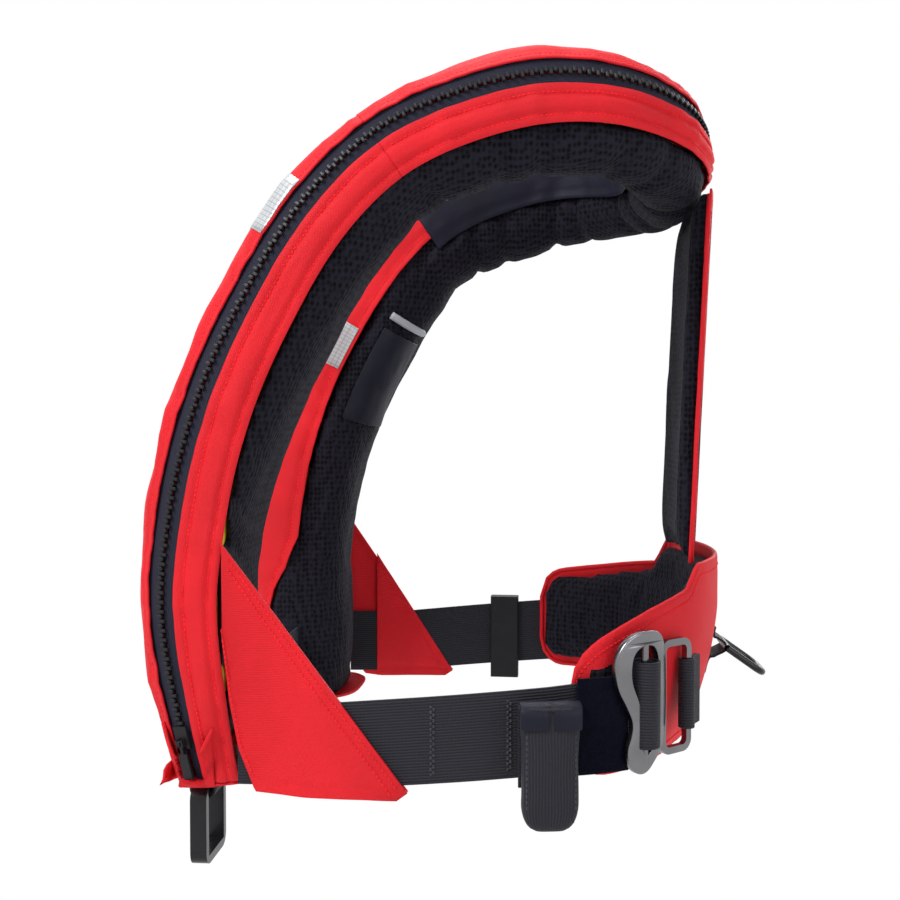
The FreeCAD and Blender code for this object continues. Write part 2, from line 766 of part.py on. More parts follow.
def make_front_rings():
    """Two flat harness rings hang from cloth tabs under the lobes."""
    tab_thick = 2.0
    tabs = []
    for side, stations in LOBES.items():
        hang = stations[0].point(0, 0.62 * stations[0].half_depth)
        top = -size("lobe_drop") - WALL - 3 * GAP
        axis_up = top - RING_HANG
        ring = plate_body(side + "_front_ring", ("sizes.ring_width", "sizes.ring_height"),
                          ("sizes.ring_width - 2 * sizes.ring_bar", "sizes.ring_height - 2 * sizes.ring_bar"),
                          "sizes.ring_band", "sizes.ring_bar * 1.6")
        centre = Vector(hang.x, hang.y, axis_up + size("ring_bar") / 2 - size("ring_height") / 2)
        tilt = Rotation(Vector(1, 0, 0), 90)
        ring.Placement = Placement(centre + Vector(0, size("ring_band") / 2, 0), tilt)
        keep(side + "_front_ring", ring)
        half = size("tab_width") / 2
        inner_r = math.hypot(size("ring_band"), size("ring_bar")) / 2 + GAP
        loop = Part.makeCylinder(inner_r + tab_thick, 2 * half, Vector(-half, 0, 0), Vector(1, 0, 0))
        neck = box((-half, -inner_r - tab_thick, 0), (half, inner_r + tab_thick, RING_HANG + 12))
        bore = Part.makeCylinder(inner_r, 4 * half, Vector(-2 * half, 0, 0), Vector(1, 0, 0))
        tab = loop.fuse(neck).cut(bore).removeSplitter()
        tab.translate(Vector(hang.x, hang.y, axis_up))
        tabs.append(tab.cut(bottom_slab(stations[0], 30, -3 * GAP - WALL, 60)))
    keep_shape("front_ring_tabs", Part.makeCompound(tabs))


def make_rear_ring():
    """A wire ring droops from a short tab on the back pad."""
    wire_r = size("rear_ring_wire") / 2
    wide = size("rear_ring_width") / 2 - wire_r
    long = size("rear_ring_length") - 2 * wire_r
    bend = 9.0
    corners = [
        (wide, 0),
        (wide, long - bend),
        (wide - bend, long),
        (-wide + bend, long),
        (-wide, long - bend),
        (-wide, 0),
    ]
    p = [Vector(x, y, 0) for x, y in corners]
    turn = bend * math.sqrt(0.5)
    edges = [
        Part.makeLine(p[5], p[0]),
        Part.makeLine(p[0], p[1]),
        Part.Arc(p[1], Vector(wide - bend + turn, long - bend + turn, 0), p[2]).toShape(),
        Part.makeLine(p[2], p[3]),
        Part.Arc(p[3], Vector(-wide + bend - turn, long - bend + turn, 0), p[4]).toShape(),
        Part.makeLine(p[4], p[5]),
    ]
    path = Part.Wire(edges)
    profile = Part.Wire([Part.makeCircle(wire_r, Vector(0, 0, 0), Vector(1, 0, 0))])
    ring = path.makePipeShell([profile], True, False, 2)
    ring = Part.makeSolid(ring) if ring.ShapeType != "Solid" else ring
    droop = 35.0
    lift = 26.0
    axis = Vector(0, size("pad_reach") + 1.6 + wire_r + GAP + 2.0, lift)
    ring.Placement = Placement(axis, Rotation(Vector(1, 0, 0), -droop))
    keep_shape("rear_ring", ring)
    half = size("tab_width") / 2
    bore_r = wire_r + GAP
    loop = Part.makeCylinder(bore_r + 1.6, 2 * half, Vector(-half, 0, 0), Vector(1, 0, 0))
    reach = axis.y - size("pad_reach") - GAP
    foot = box((-half, -reach, -17), (half, -reach + 2.0, 12))
    bridge = box((-half, -reach, -bore_r - 1.6), (half, 0, bore_r + 1.6))
    bore = Part.makeCylinder(bore_r, 4 * half, Vector(-2 * half, 0, 0), Vector(1, 0, 0))
    tab = loop.fuse([foot, bridge]).cut(bore).removeSplitter()
    tab.translate(axis)
    pad = oval_shell(-5, GAP, -60, 120)
    keep_shape("rear_ring_tab", biggest(tab.cut(pad)))


def webbing_loop(bore_r, thick, width, tail, slope):
    """Webbing folded round a bar on Z, its doubled tail running off along X and sloping by Y."""
    outer = Part.makeCylinder(bore_r + thick, width, Vector(0, 0, -width / 2))
    legs = box((0, -thick, -width / 2), (tail, thick, width / 2))
    legs.rotate(Vector(0, 0, 0), Vector(0, 0, 1), slope)
    bore = Part.makeCylinder(bore_r, 2 * width, Vector(0, 0, -width))
    return outer.fuse(legs).cut(bore).removeSplitter()


def round_upright(shape, radius, axis="y"):
    """Round the edges of a block that run along one axis."""
    edges = [edge for edge in shape.Edges if abs(getattr(edge.tangentAt(edge.FirstParameter), axis)) > 0.9]
    return shape.makeFillet(radius, edges)


def make_buckle():
    """A hook plate on the belt's end, and on the wing the bar frame that it hooks into.

    Built flat: X runs rearward along the wing, Y towards the body and Z up, from the point
    where the plate's inner face lies over the wing.
    """
    point, outward, rearward = wing_frame(BUCKLE_AT)
    thick = size("buckle_plate")
    high = size("buckle_height")
    wide = size("buckle_width")
    bar = 4.0
    plate = round_upright(box((0, -thick, -high / 2), (wide, 0, high / 2)), 9.0)
    slot = round_upright(box((bar, -2 * thick, -27), (bar + 6, thick, 27)), 2.0)
    notch = Part.makeCylinder(12, 4 * thick, Vector(wide + 7.5, -2 * thick, 21), Vector(0, 1, 0))
    notch_low = Part.makeCylinder(12, 4 * thick, Vector(wide + 7.5, -2 * thick, -21), Vector(0, 1, 0))
    lug = box((wide - 7, -thick / 2, -8), (wide - 3, thick, 8))
    plate = plate.cut(slot.fuse([notch, notch_low])).fuse(lug).removeSplitter()
    limb = wide - 7 - 0.8
    frame_wide = 25.0
    frame_high = 0.86 * high
    low_y = 0.6
    high_y = 4.4
    half_high = frame_high / 2
    far_limb = limb + frame_wide - 2 * bar
    frame = round_upright(box((limb - bar, low_y, -half_high), (far_limb + bar, high_y, half_high)), 7.0)
    window = box((limb, low_y - 5, -half_high + bar), (far_limb, high_y + 5, half_high - bar))
    frame = frame.cut(round_upright(window, 3.0))
    belt_loop = webbing_loop(3.2, 1.6, size("belt_width"), 19.0, 180 - 30)
    belt_loop.translate(Vector(bar / 2, -thick / 2, 0))
    wing_loop = webbing_loop(3.1, 1.6, 40.0, 17.0, 20)
    wing_loop.translate(Vector(limb + frame_wide - 1.5 * bar, (low_y + high_y) / 2, 0))
    origin = point + outward * BUCKLE_CLEAR - rearward * 18 + Vector(0, 0, BUCKLE_LIFT)
    to_row = local_placement(origin, rearward, Vector(0, 0, 1))
    wing = oval_shell(-8, GAP, -80, 140)
    belt = subparts["left_belt"].Shape
    for name, shape in (("buckle_hook_plate", plate), ("buckle_frame", frame),
                        ("belt_end_loop", belt_loop), ("wing_loop", wing_loop)):
        placed = shape.transformGeometry(to_row.toMatrix())
        if name.endswith("loop"):
            placed = biggest(placed.cut(wing).cut(belt))
        keep_shape(name, placed)


def wing_frame(degrees):
    """A point on the left wing, with its outward and rearward directions."""
    point = ellipse_point(degrees, 0)
    angle = math.radians(degrees)
    rearward = Vector(-size("wing_reach") * math.sin(angle), size("pad_reach") * math.cos(angle), 0)
    rearward = rearward.normalize()
    outward = Vector(rearward.y, -rearward.x, 0)
    return point, outward, rearward


def make_fleece():
    """A fleece fastening patch covers the belt's end in front of the buckle."""
    near = size("belt_thick") + 2 * GAP
    points = [ellipse_point(degrees, near) for degrees in (14.2, 17, 19.8, 22.6)]
    patch = plan_sheet(points, 0, 2.2, -19.0, 35.0)
    keep_shape("belt_end_fleece", patch)


def make_pouch():
    """A crotch strap folded in its pouch on the left belt, with a flap over its top."""
    point, outward, rearward = wing_frame(7.0)
    deep = size("pouch_depth")
    wide = size("pouch_width")
    high = size("pouch_height")
    wall = 1.6
    top = 22.0
    near = size("belt_thick") + 2 * GAP + 3.0
    outer = box((-wide / 2, near, top - high), (wide / 2, near + deep, top))
    lower = [edge for edge in outer.Edges if edge.CenterOfMass.z < top - 2 and edge.CenterOfMass.y > near + 1]
    outer = outer.makeFillet(4.5, lower)
    inner_half = wide / 2 - wall
    hollow = box((-inner_half, near + wall, top - high + wall), (inner_half, near + deep - wall, top + 5))
    shell = outer.cut(hollow)
    strap = box((-wide / 2 + wall + GAP, near + wall + GAP, top - high + wall + GAP),
                (wide / 2 - wall - GAP, near + deep - wall - GAP, top - 3))
    strap = strap.makeFillet(2.0, strap.Edges)
    flap_far = near + deep + GAP + wall
    flap_high = top + GAP + wall
    flap_top = box((-wide / 2, near - 1.2, top + GAP), (wide / 2, flap_far, flap_high))
    flap_front = box((-wide / 2, near + deep + GAP, top - 11), (wide / 2, flap_far, flap_high))
    slit = box((-0.6, near + deep - 1, top - 20), (0.6, near + deep + 9, top - 1))
    flap = flap_top.fuse(flap_front).cut(slit).removeSplitter()
    back = box((-wide / 2, near - 2.4, -24), (wide / 2, near - GAP, top + GAP + 1.6 - 2))
    to_row = local_placement(point, rearward, Vector(0, 0, 1))
    for name, shape in (("pouch_shell", shell), ("pouch_flap", flap), ("crotch_strap", strap),
                        ("pouch_keeper", back)):
        placed = shape.copy()
        placed = placed.mirror(Vector(0, 0, 0), Vector(0, 1, 0))
        placed = placed.transformGeometry(to_row.toMatrix())
        keep_shape(name, placed)


def make_right_keeper():
    """A sliding keeper takes up the right belt's spare length."""
    route = even_spline(belt_route(BELT_END))
    place = 4.35
    half_long = 11
    bore_wide_gap = 2.4
    bore_deep_gap = 2.3
    along = route.tangent(place)[0]
    outward = Vector(along.y, -along.x, 0).normalize()
    middle = route.value(place)
    middle.z = belt_lift(middle.y)
    half = size("belt_width") / 2 + bore_wide_gap
    deep = size("belt_thick") / 2 + bore_deep_gap
    keeper = box((-half_long, -deep - 1.8, -half - 9), (half_long, deep + 1.8, half + 3))
    keeper = round_upright(keeper, 1.2, "z")
    keeper = keeper.cut(box((-30, -deep, -half), (30, deep, half)))
    to_row = local_placement(middle, along, Vector(0, 0, 1))
    keeper = keeper.transformGeometry(to_row.toMatrix())
    keep_shape("right_belt_keeper", mirror_x(keeper))


# ---------------------------------------------------------------- inside the lobes
def make_inflator():
    """Gas cylinder, inflator head, firing lever on its pin, lanyard and handle."""
    corner = head_corner()
    wide = size("inflator_width")
    deep = size("inflator_depth")
    high = size("inflator_height")
    neck_r = size("neck_dia") / 2
    neck_long = 10.0
    body_r = size("cylinder_dia") / 2
    length = size("cylinder_length")
    axis = corner + Vector(wide / 2, deep / 2, high)
    lean = Vector(0, 0.04, 1).normalize()
    body = Part.makeCylinder(body_r, length, Vector(0, 0, 8))
    ends = [edge for edge in body.Edges if len(edge.Vertexes) == 1]
    body = body.makeFillet(body_r * 0.55, ends)
    bottle = body.fuse(Part.makeCylinder(neck_r, neck_long + 10, Vector(0, 0, -neck_long))).removeSplitter()
    place = local_placement(axis, Vector(1, 0, 0), lean)
    bottle.Placement = place
    keep_shape("gas_cylinder", bottle)
    head = box((0, 0, 0), (wide, deep, high))
    head = head.makeFillet(3.0, head.Edges)
    head = head.fuse(Part.makeCylinder(10.0, HEAD_STAND + 3, Vector(wide / 2, deep - 3, 16), Vector(0, 1, 0)))
    head.translate(corner)
    socket = Part.makeCylinder(neck_r + 0.05, neck_long + 20, Vector(0, 0, -neck_long - 0.05))
    socket.Placement = place
    head = head.cut(socket)
    pin_r = 2.0
    pivot = corner + Vector(wide, deep * PIVOT_BACK, 8.0)
    pin_long = LEVER_THICK + GAP + 8.1
    bore = Part.makeCylinder(pin_r, 20, pivot - Vector(8, 0, 0), Vector(1, 0, 0))
    head = head.cut(bore)
    cap_centre = corner + Vector(wide / 2, 0, 12)
    keep_shape("inflator_head", head)
    cap = Part.makeCylinder(7, 3.0, cap_centre, Vector(0, -1, 0))
    keep_shape("service_indicator", cap)
    keep_shape("lever_pin", Part.makeCylinder(pin_r, pin_long, pivot - Vector(8, 0, 0), Vector(1, 0, 0)))
    lever_x = pivot.x + GAP
    lever_top = pivot.z + LEVER_LONG + 4
    lever = box((lever_x, pivot.y - 5, pivot.z - 5), (lever_x + LEVER_THICK, pivot.y + 5, lever_top))
    lever = round_upright(lever, 4.5, "x")
    lever = lever.cut(Part.makeCylinder(pin_r + 0.05, 40, pivot - Vector(10, 0, 0), Vector(1, 0, 0)))
    keep_shape("firing_lever", lever)
    lanyard_x = lever_x + LEVER_THICK + GAP + LANYARD_DIA / 2
    hang = handle_place()
    grip_top = hang.z + HANDLE_LONG
    cord_long = pivot.z + LEVER_LONG - grip_top
    cord = Part.makeCylinder(LANYARD_DIA / 2, cord_long, Vector(lanyard_x, pivot.y, grip_top))
    keep_shape("firing_lanyard", cord)
    grip = box((lanyard_x - HANDLE_THICK / 2, pivot.y - HANDLE_WIDTH / 2, hang.z),
               (lanyard_x + HANDLE_THICK / 2, pivot.y + HANDLE_WIDTH / 2, grip_top))
    grip = grip.makeFillet(1.6, grip.Edges)
    keep_shape("firing_handle", grip)


def make_oral_tube():
    """The oral inflation tube with its valve poppet and cap, and a whistle beside it."""
    station = RIGHT[4]
    low = (MESH_EDGE - PAD_DROP) * station.half_depth + size("bladder_thick") + 4 * GAP
    tube_r = size("oral_tube_dia") / 2
    foot = station.point(0, low + tube_r)
    long = 80.0
    tube = Part.makeCylinder(tube_r, long, foot)
    tube = tube.cut(Part.makeCylinder(tube_r - 2.5, long - 4, foot + Vector(0, 0, 4)))
    keep_shape("oral_tube", tube)
    top = foot + Vector(0, 0, long)
    poppet = Part.makeCylinder(tube_r - 2.5 - 0.08, 10, top - Vector(0, 0, 12))
    keep_shape("oral_valve_poppet", poppet.makeFillet(1.0, poppet.Edges))
    cap = Part.makeCylinder(tube_r + 2.0, 16, top - Vector(0, 0, 12))
    cap = cap.makeFillet(1.2, [edge for edge in cap.Edges if edge.CenterOfMass.z > top.z + 3])
    cap = cap.cut(Part.makeCylinder(tube_r + 0.08, 12.4, top - Vector(0, 0, 12)))
    keep_shape("oral_tube_cap", cap)
    place = foot + Vector(26, 2.0, 20)
    whistle = box((place.x - 8, place.y - tube_r - 4, place.z), (place.x + 8, place.y + tube_r, place.z + 46))
    whistle = whistle.makeFillet(2.5, whistle.Edges)
    window = box((place.x - 4, place.y - tube_r - 9, place.z + 28), (place.x + 4, place.y - 2, place.z + 33))
    keep_shape("whistle", whistle.cut(window))


def make_slider():
    """The zip slider at the bottom of the left run, and its pull tab."""
    station = LEFT[0]
    start = LEFT[0].rim(rim_angle(ZIP_MIDDLE), 0)
    later = LEFT[2].rim(rim_angle(ZIP_MIDDLE), 0)
    along = (later - start).normalize()
    side = station.rim(rim_angle(ZIP_MIDDLE + 0.08), 0) - station.rim(rim_angle(ZIP_MIDDLE - 0.08), 0)
    outward = side.cross(along).normalize()
    if outward.x < 0:
        outward = outward * -1
    to_row = local_placement(start + along * 27.0, along, outward)
    plate = box((-6.5, -4.8, -0.4), (6.5, 4.8, 1.1))
    post = box((-6.5, -1.0, -5.2), (-3.5, 1.0, 0))
    under = box((-6.5, -4.8, -6.4), (6.5, 4.8, -5.0))
    ears = box((-4.5, -2.6, 1.0), (-0.5, 2.6, 4.0)).cut(box((-9, -1.3, 1.1), (9, 1.3, 9)))
    pivot = Vector(-2.5, 0, 3.0)
    axle = Part.makeCylinder(0.7, 5.2, pivot - Vector(0, 2.6, 0), Vector(0, 1, 0))
    slider = plate.fuse([post, under, ears, axle]).removeSplitter()
    pull = box((-18, -1.0, 1.9), (-2.5, 1.0, 3.3)).fuse(box((-24, -3.2, 1.9), (-9, 3.2, 3.3)))
    eye = Part.makeCylinder(1.7, 2.0, pivot - Vector(0, 1.0, 0), Vector(0, 1, 0))
    pull = pull.fuse(eye).cut(Part.makeCylinder(0.78, 9, pivot - Vector(0, 4.5, 0), Vector(0, 1, 0)))
    for name, shape in (("zip_slider", slider), ("zip_pull", pull.removeSplitter())):
        keep_shape(name, shape.transformGeometry(to_row.toMatrix()))


def make_inner_pocket():
    """A smooth pocket on the right lobe's mesh, with a pale binding along its mouth."""
    run = LOBES["right"][10:14]
    start = -math.radians(100)
    stop = -math.radians(160)
    panel = loft([band_wire(st, start, stop, -GAP - 1.2, -GAP, 7) for st in run])
    keep_shape("pocket_panel", panel)
    top = LOBES["right"][13]
    edge = [top.rim(start + (stop - start) * step / 6, -GAP - 1.7) for step in range(7)]
    path = Part.Wire([even_spline(edge).toShape()])
    ring = Part.Wire([Part.makeCircle(1.6, edge[0], (edge[1] - edge[0]))])
    binding = path.makePipeShell([ring], True, False)
    binding.translate(top.along * -2.4)
    keep_shape("pocket_binding", binding)


ZIP_PIECES = (make_covers, make_zip, make_bottoms, make_bladder, make_side_panels, make_belts)
WAIST_PIECES = (make_back_pad, make_back_strap, make_fleece, make_buckle, make_pouch, make_right_keeper)
SMALL_PIECES = (make_front_rings, make_rear_ring, make_reflectors, make_garages, make_inner_pocket)
INNER_PIECES = (make_inflator, make_oral_tube, make_slider)
for make in ZIP_PIECES + WAIST_PIECES + SMALL_PIECES + INNER_PIECES:
    make()

doc.recompute()
for item in doc.Objects:
    if "Invalid" in item.State or "Error" in item.State:
        raise RuntimeError(item.Name + " did not recompute")
for name, item in subparts.items():
    if item.Shape.isNull() or not item.Shape.isValid():
        raise RuntimeError(name + " has no valid shape")
for name, item in subparts.items():
    item.Shape.exportStep("parts/%s.step" % name)
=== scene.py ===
"""Inflatable horseshoe life jacket: sewn covers, zip, mesh pads, harness belt and metalwork.

Metres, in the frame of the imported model: +X wearer's left, -Y wearer's front, +Z up.
"""
import bpy
import bmesh
import json
import math
import numpy as np
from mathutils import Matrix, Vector, noise
from mathutils.bvhtree import BVHTree
from mathutils.kdtree import KDTree

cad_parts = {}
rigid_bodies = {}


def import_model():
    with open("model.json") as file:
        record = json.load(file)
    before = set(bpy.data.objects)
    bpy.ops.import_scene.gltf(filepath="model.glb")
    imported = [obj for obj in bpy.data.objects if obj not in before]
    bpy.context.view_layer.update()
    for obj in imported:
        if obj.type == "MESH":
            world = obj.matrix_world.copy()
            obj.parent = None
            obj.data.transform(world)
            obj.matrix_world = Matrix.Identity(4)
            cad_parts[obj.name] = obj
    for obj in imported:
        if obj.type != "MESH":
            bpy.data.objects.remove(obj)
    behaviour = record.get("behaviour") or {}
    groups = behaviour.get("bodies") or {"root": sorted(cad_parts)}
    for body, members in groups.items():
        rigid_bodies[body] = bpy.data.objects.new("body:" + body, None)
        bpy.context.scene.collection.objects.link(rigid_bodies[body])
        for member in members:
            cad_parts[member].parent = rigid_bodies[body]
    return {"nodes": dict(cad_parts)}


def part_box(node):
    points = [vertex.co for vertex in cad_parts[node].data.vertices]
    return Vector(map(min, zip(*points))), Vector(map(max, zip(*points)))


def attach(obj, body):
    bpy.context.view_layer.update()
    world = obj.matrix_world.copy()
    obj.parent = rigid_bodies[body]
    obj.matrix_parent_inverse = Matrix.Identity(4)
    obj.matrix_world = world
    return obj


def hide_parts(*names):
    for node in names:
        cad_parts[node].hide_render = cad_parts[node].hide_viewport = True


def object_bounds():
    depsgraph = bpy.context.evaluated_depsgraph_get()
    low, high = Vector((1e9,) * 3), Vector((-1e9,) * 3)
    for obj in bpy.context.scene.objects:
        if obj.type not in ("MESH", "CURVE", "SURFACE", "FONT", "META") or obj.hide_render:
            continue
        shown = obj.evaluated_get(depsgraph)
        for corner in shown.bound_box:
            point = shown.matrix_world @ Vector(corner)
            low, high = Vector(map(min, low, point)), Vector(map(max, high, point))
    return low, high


bl_info = {
    "name": "Inflatable Life Jacket",
    "version": (1, 0, 0),
    "blender": (4, 5, 0),
    "location": "View3D > Sidebar > Life Jacket",
    "description": "Builds a zipped horseshoe life jacket with its harness on a fixed frame",
    "category": "Add Mesh",
}

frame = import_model()
CAD_BOUNDS = [[float(x) for x in corner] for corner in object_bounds()]

# ------------------------------------------------------------------ horseshoe sections
HALF_WIDTH = 0.147
FRONT_REACH = 0.224
BACK_REACH = 0.121
COLLAR_TOP = 0.389
LOBE_DROP = 0.033
LOBE_SECTION = (0.100, 0.082)
COLLAR_SECTION = (0.056, 0.062)
RIGHT_SETTLE = 0.014
WING_REACH = 0.150
PAD_REACH = 0.127
BELT_WIDTH = 0.048
BELT_THICK = 0.0024
WALL = 0.002
GAP = 0.0003
ROUNDNESS = 2.6
ZIP_FRONT = 0.66
ZIP_MIDDLE = 0.45
ZIP_REAR = 0.24
MESH_EDGE = -0.38
LINING_EDGE = 0.62
FINE = 10
SHOULDER = 8 * FINE

# outer front corner as shares of the reaches (side, front or back, up), heading in degrees,
# change from the lobe's section to the collar's, and fullness of the depth
SECTION_ROWS = [
    (0.955, -0.905, None, 0, 0.0, 0.80),
    (0.990, -0.970, 0.055, 0, 0.0, 0.93),
    (1.000, -1.000, 0.180, 0, 0.0, 0.98),
    (1.000, -0.988, 0.288, 0, 0.0, 1.00),
    (0.995, -0.951, 0.406, 0, 0.0, 1.00),
    (0.980, -0.880, 0.535, 0, 0.04, 1.00),
    (0.960, -0.777, 0.658, 0, 0.13, 1.00),
    (0.940, -0.630, 0.792, 0, 0.30, 1.02),
    (0.912, -0.424, 0.908, 2, 0.53, 1.06),
    (0.892, -0.200, 0.969, 6, 0.76, 1.10),
    (0.870, 0.045, 1.000, 12, 0.92, 1.14),
    (0.790, 0.440, 1.000, 32, 0.98, 1.11),
    (0.590, 0.745, 0.987, 55, 1.0, 1.08),
    (0.320, 0.940, 0.967, 74, 1.0, 1.04),
    (0.000, 1.000, 0.952, 90, 1.0, 1.00),
]


class Spline:
    """A natural cubic curve through points, whose parameter counts them."""

    def __init__(self, points):
        self.points = np.array(points, float)
        count = len(self.points)
        matrix = np.zeros((count, count))
        right = np.zeros_like(self.points)
        matrix[0, 0] = matrix[-1, -1] = 1
        for i in range(1, count - 1):
            matrix[i, i - 1:i + 2] = (1, 4, 1)
            right[i] = 6 * (self.points[i + 1] - 2 * self.points[i] + self.points[i - 1])
        self.bend = np.linalg.solve(matrix, right)

    def _piece(self, place):
        start = min(max(int(place), 0), len(self.points) - 2)
        return start, place - start

    def value(self, place):
        start, t = self._piece(place)
        p, m, r = self.points, self.bend, 1 - t
        return (m[start] * (r ** 3 - r) + m[start + 1] * (t ** 3 - t)) / 6 + p[start] * r + p[start + 1] * t

    def tangent(self, place):
        start, t = self._piece(place)
        p, m, r = self.points, self.bend, 1 - t
        d = (m[start] * (1 - 3 * r * r) + m[start + 1] * (3 * t * t - 1)) / 6 + p[start + 1] - p[start]
        return d / np.linalg.norm(d)


def smooth_value(values, place):
    """A smooth value between listed ones, at a place counted along them."""
    start = min(int(place), len(values) - 2)
    t = place - start
    near, far = values[start], values[start + 1]
    slope_near = (far - values[max(start - 1, 0)]) / 2
    slope_far = (values[min(start + 2, len(values) - 1)] - near) / 2
    blend = near + (far - near) * t * t * (3 - 2 * t)
    return blend + slope_near * t * (1 - t) ** 2 + slope_far * t * t * (t - 1)


def unit(v):
    return v / np.linalg.norm(v)


class Section:
    """One cross-section of the horseshoe."""

    def __init__(self, middle, across, front, along, half_width, half_depth):
        self.middle = middle
        self.across = across
        self.front = front
        self.along = along
        self.half_width = half_width
        self.half_depth = half_depth

    def rim(self, angle, inset=0.0):
        """A point on the rounded outline; angle 0 is the outer side and 90 degrees the front."""
        c, s = math.cos(angle), math.sin(angle)
        a = math.copysign(abs(c) ** (2 / ROUNDNESS), c) * (self.half_width - inset)
        f = math.copysign(abs(s) ** (2 / ROUNDNESS), s) * (self.half_depth - inset)
        return self.middle + self.across * a + self.front * f


def rim_angle(share):
    """Angle on the outline whose height is a share of the half depth."""
    return math.copysign(math.asin(abs(share) ** (ROUNDNESS / 2)), share)


def horseshoe():
    """Sections from the bottom of the left lobe over the neck to the bottom of the right one."""
    corners, headings, widths, depths = [], [], [], []
    for side, ahead, up, heading, change, fullness in SECTION_ROWS:
        reach = FRONT_REACH if ahead < 0 else BACK_REACH
        height = -LOBE_DROP if up is None else up * COLLAR_TOP
        corners.append((side * HALF_WIDTH, ahead * reach, height))
        headings.append(math.radians(heading))
        widths.append(LOBE_SECTION[0] * (1 - change) + COLLAR_SECTION[0] * change)
        depths.append((LOBE_SECTION[1] * (1 - change) + COLLAR_SECTION[1] * change) * fullness)
    last = len(corners) - 1
    for i in range(last - 1, last - 4, -1):
        corners.append((-corners[i][0], corners[i][1], corners[i][2]))
        headings.append(math.pi - headings[i])
        widths.append(widths[i])
        depths.append(depths[i])
    route = Spline(corners)
    left = []
    for step in range(last * FINE + 1):
        place = step / FINE
        along = unit(route.tangent(place) + np.array((0, 0, 3 * max(0, 1 - place))))
        heading = smooth_value(headings, place)
        level = np.array((math.cos(heading), math.sin(heading), 0))
        across = unit(level - along * level.dot(along))
        front = unit(np.cross(across, along))
        half_w, half_d = smooth_value(widths, place) / 2, smooth_value(depths, place) / 2
        left.append(Section(route.value(place) - across * half_w - front * half_d, across, front, along,
                            half_w, half_d))
    right = []
    flip = np.array((-1, 1, 1))
    centre = len(left) - 1
    for i, s in enumerate(left):
        share = min(1.0, (centre - i) / (centre - SHOULDER))
        front = s.front * flip
        right.append(Section(s.middle * flip - front * RIGHT_SETTLE * share, s.across * flip, front,
                             s.along * flip * -1, s.half_width, s.half_depth))
    return left + right[:centre][::-1]


SECTIONS = horseshoe()
COUNT = len(SECTIONS)
RUNS = {
    "left": (0, SHOULDER),
    "collar": (SHOULDER, COUNT - 1 - SHOULDER),
    "right": (COUNT - 1 - SHOULDER, COUNT - 1),
}
REACH = [0.0]
for before, after in zip(SECTIONS, SECTIONS[1:]):
    REACH.append(REACH[-1] + float(np.linalg.norm(after.middle - before.middle)))


# ------------------------------------------------------------------ mesh helpers
def resample(points, count):
    """The same polyline with evenly spaced points."""
    points = np.array(points)
    steps = np.linalg.norm(np.diff(points, axis=0), axis=1)
    length = np.concatenate([[0], np.cumsum(steps)])
    wanted = np.linspace(0, length[-1], count)
    return np.stack([np.interp(wanted, length, points[:, k]) for k in range(3)], axis=1)


def grid_normals(grid):
    """Unit normals of a grid of points, from its two directions."""
    du = np.gradient(grid, axis=0)
    dv = np.gradient(grid, axis=1)
    n = np.cross(du, dv)
    return n / np.maximum(np.linalg.norm(n, axis=2, keepdims=True), 1e-12)


def grid_measure(grid):
    """Length, width and area of a grid of points."""
    rows = np.linalg.norm(np.diff(grid, axis=0), axis=2).sum(axis=0)
    columns = np.linalg.norm(np.diff(grid, axis=1), axis=2).sum(axis=1)
    a = grid[1:, :-1] - grid[:-1, :-1]
    b = grid[:-1, 1:] - grid[:-1, :-1]
    c = grid[1:, :-1] - grid[1:, 1:]
    d = grid[:-1, 1:] - grid[1:, 1:]
    area = (np.linalg.norm(np.cross(a, b), axis=2).sum() + np.linalg.norm(np.cross(c, d), axis=2).sum()) / 2
    return float(rows.max()), float(columns.max()), float(area)


def link(name, vertices, faces, uv=None, smooth=True):
    """A new object at the origin, from points and faces."""
    mesh = bpy.data.meshes.new(name)
    mesh.from_pydata([tuple(map(float, v)) for v in vertices], [], faces)
    if uv is not None:
        layer = mesh.uv_layers.new(name="UVMap")
        for loop in mesh.loops:
            layer.data[loop.index].uv = uv[loop.vertex_index]
    mesh.polygons.foreach_set("use_smooth", [smooth] * len(mesh.polygons))
    mesh.update()
    ob = bpy.data.objects.new(name, mesh)
    bpy.context.scene.collection.objects.link(ob)
    return ob


def grid_object(name, grid, outward, start=0.0):
    """A sheet from a grid of points, its UV in metres, its faces turned along outward."""
    rows, columns = grid.shape[:2]
    steps = np.linalg.norm(np.diff(grid, axis=0), axis=2).mean(axis=1)
    along = np.concatenate([[0], np.cumsum(steps)]) + start
    over = np.concatenate([[0], np.cumsum(np.linalg.norm(np.diff(grid, axis=1), axis=2).mean(axis=0))])
    uv = [(float(along[i]), float(over[j])) for i in range(rows) for j in range(columns)]
    facing = grid_normals(grid)[rows // 2, columns // 2].dot(np.array(outward))
    faces = []
    for i in range(rows - 1):
        for j in range(columns - 1):
            a, b = i * columns + j, i * columns + j + 1
            c, d = (i + 1) * columns + j + 1, (i + 1) * columns + j
            faces.append((a, d, c, b) if facing > 0 else (a, b, c, d))
    return link(name, grid.reshape(-1, 3), faces, uv)


def only(ob):
    """Select this object alone and make it active."""
    bpy.ops.object.select_all(action="DESELECT")
    ob.select_set(True)
    bpy.context.view_layer.objects.active = ob


def apply_all(ob):
    """Apply every modifier on an object."""
    only(ob)
    for modifier in list(ob.modifiers):
        bpy.ops.object.modifier_apply(modifier=modifier.name)


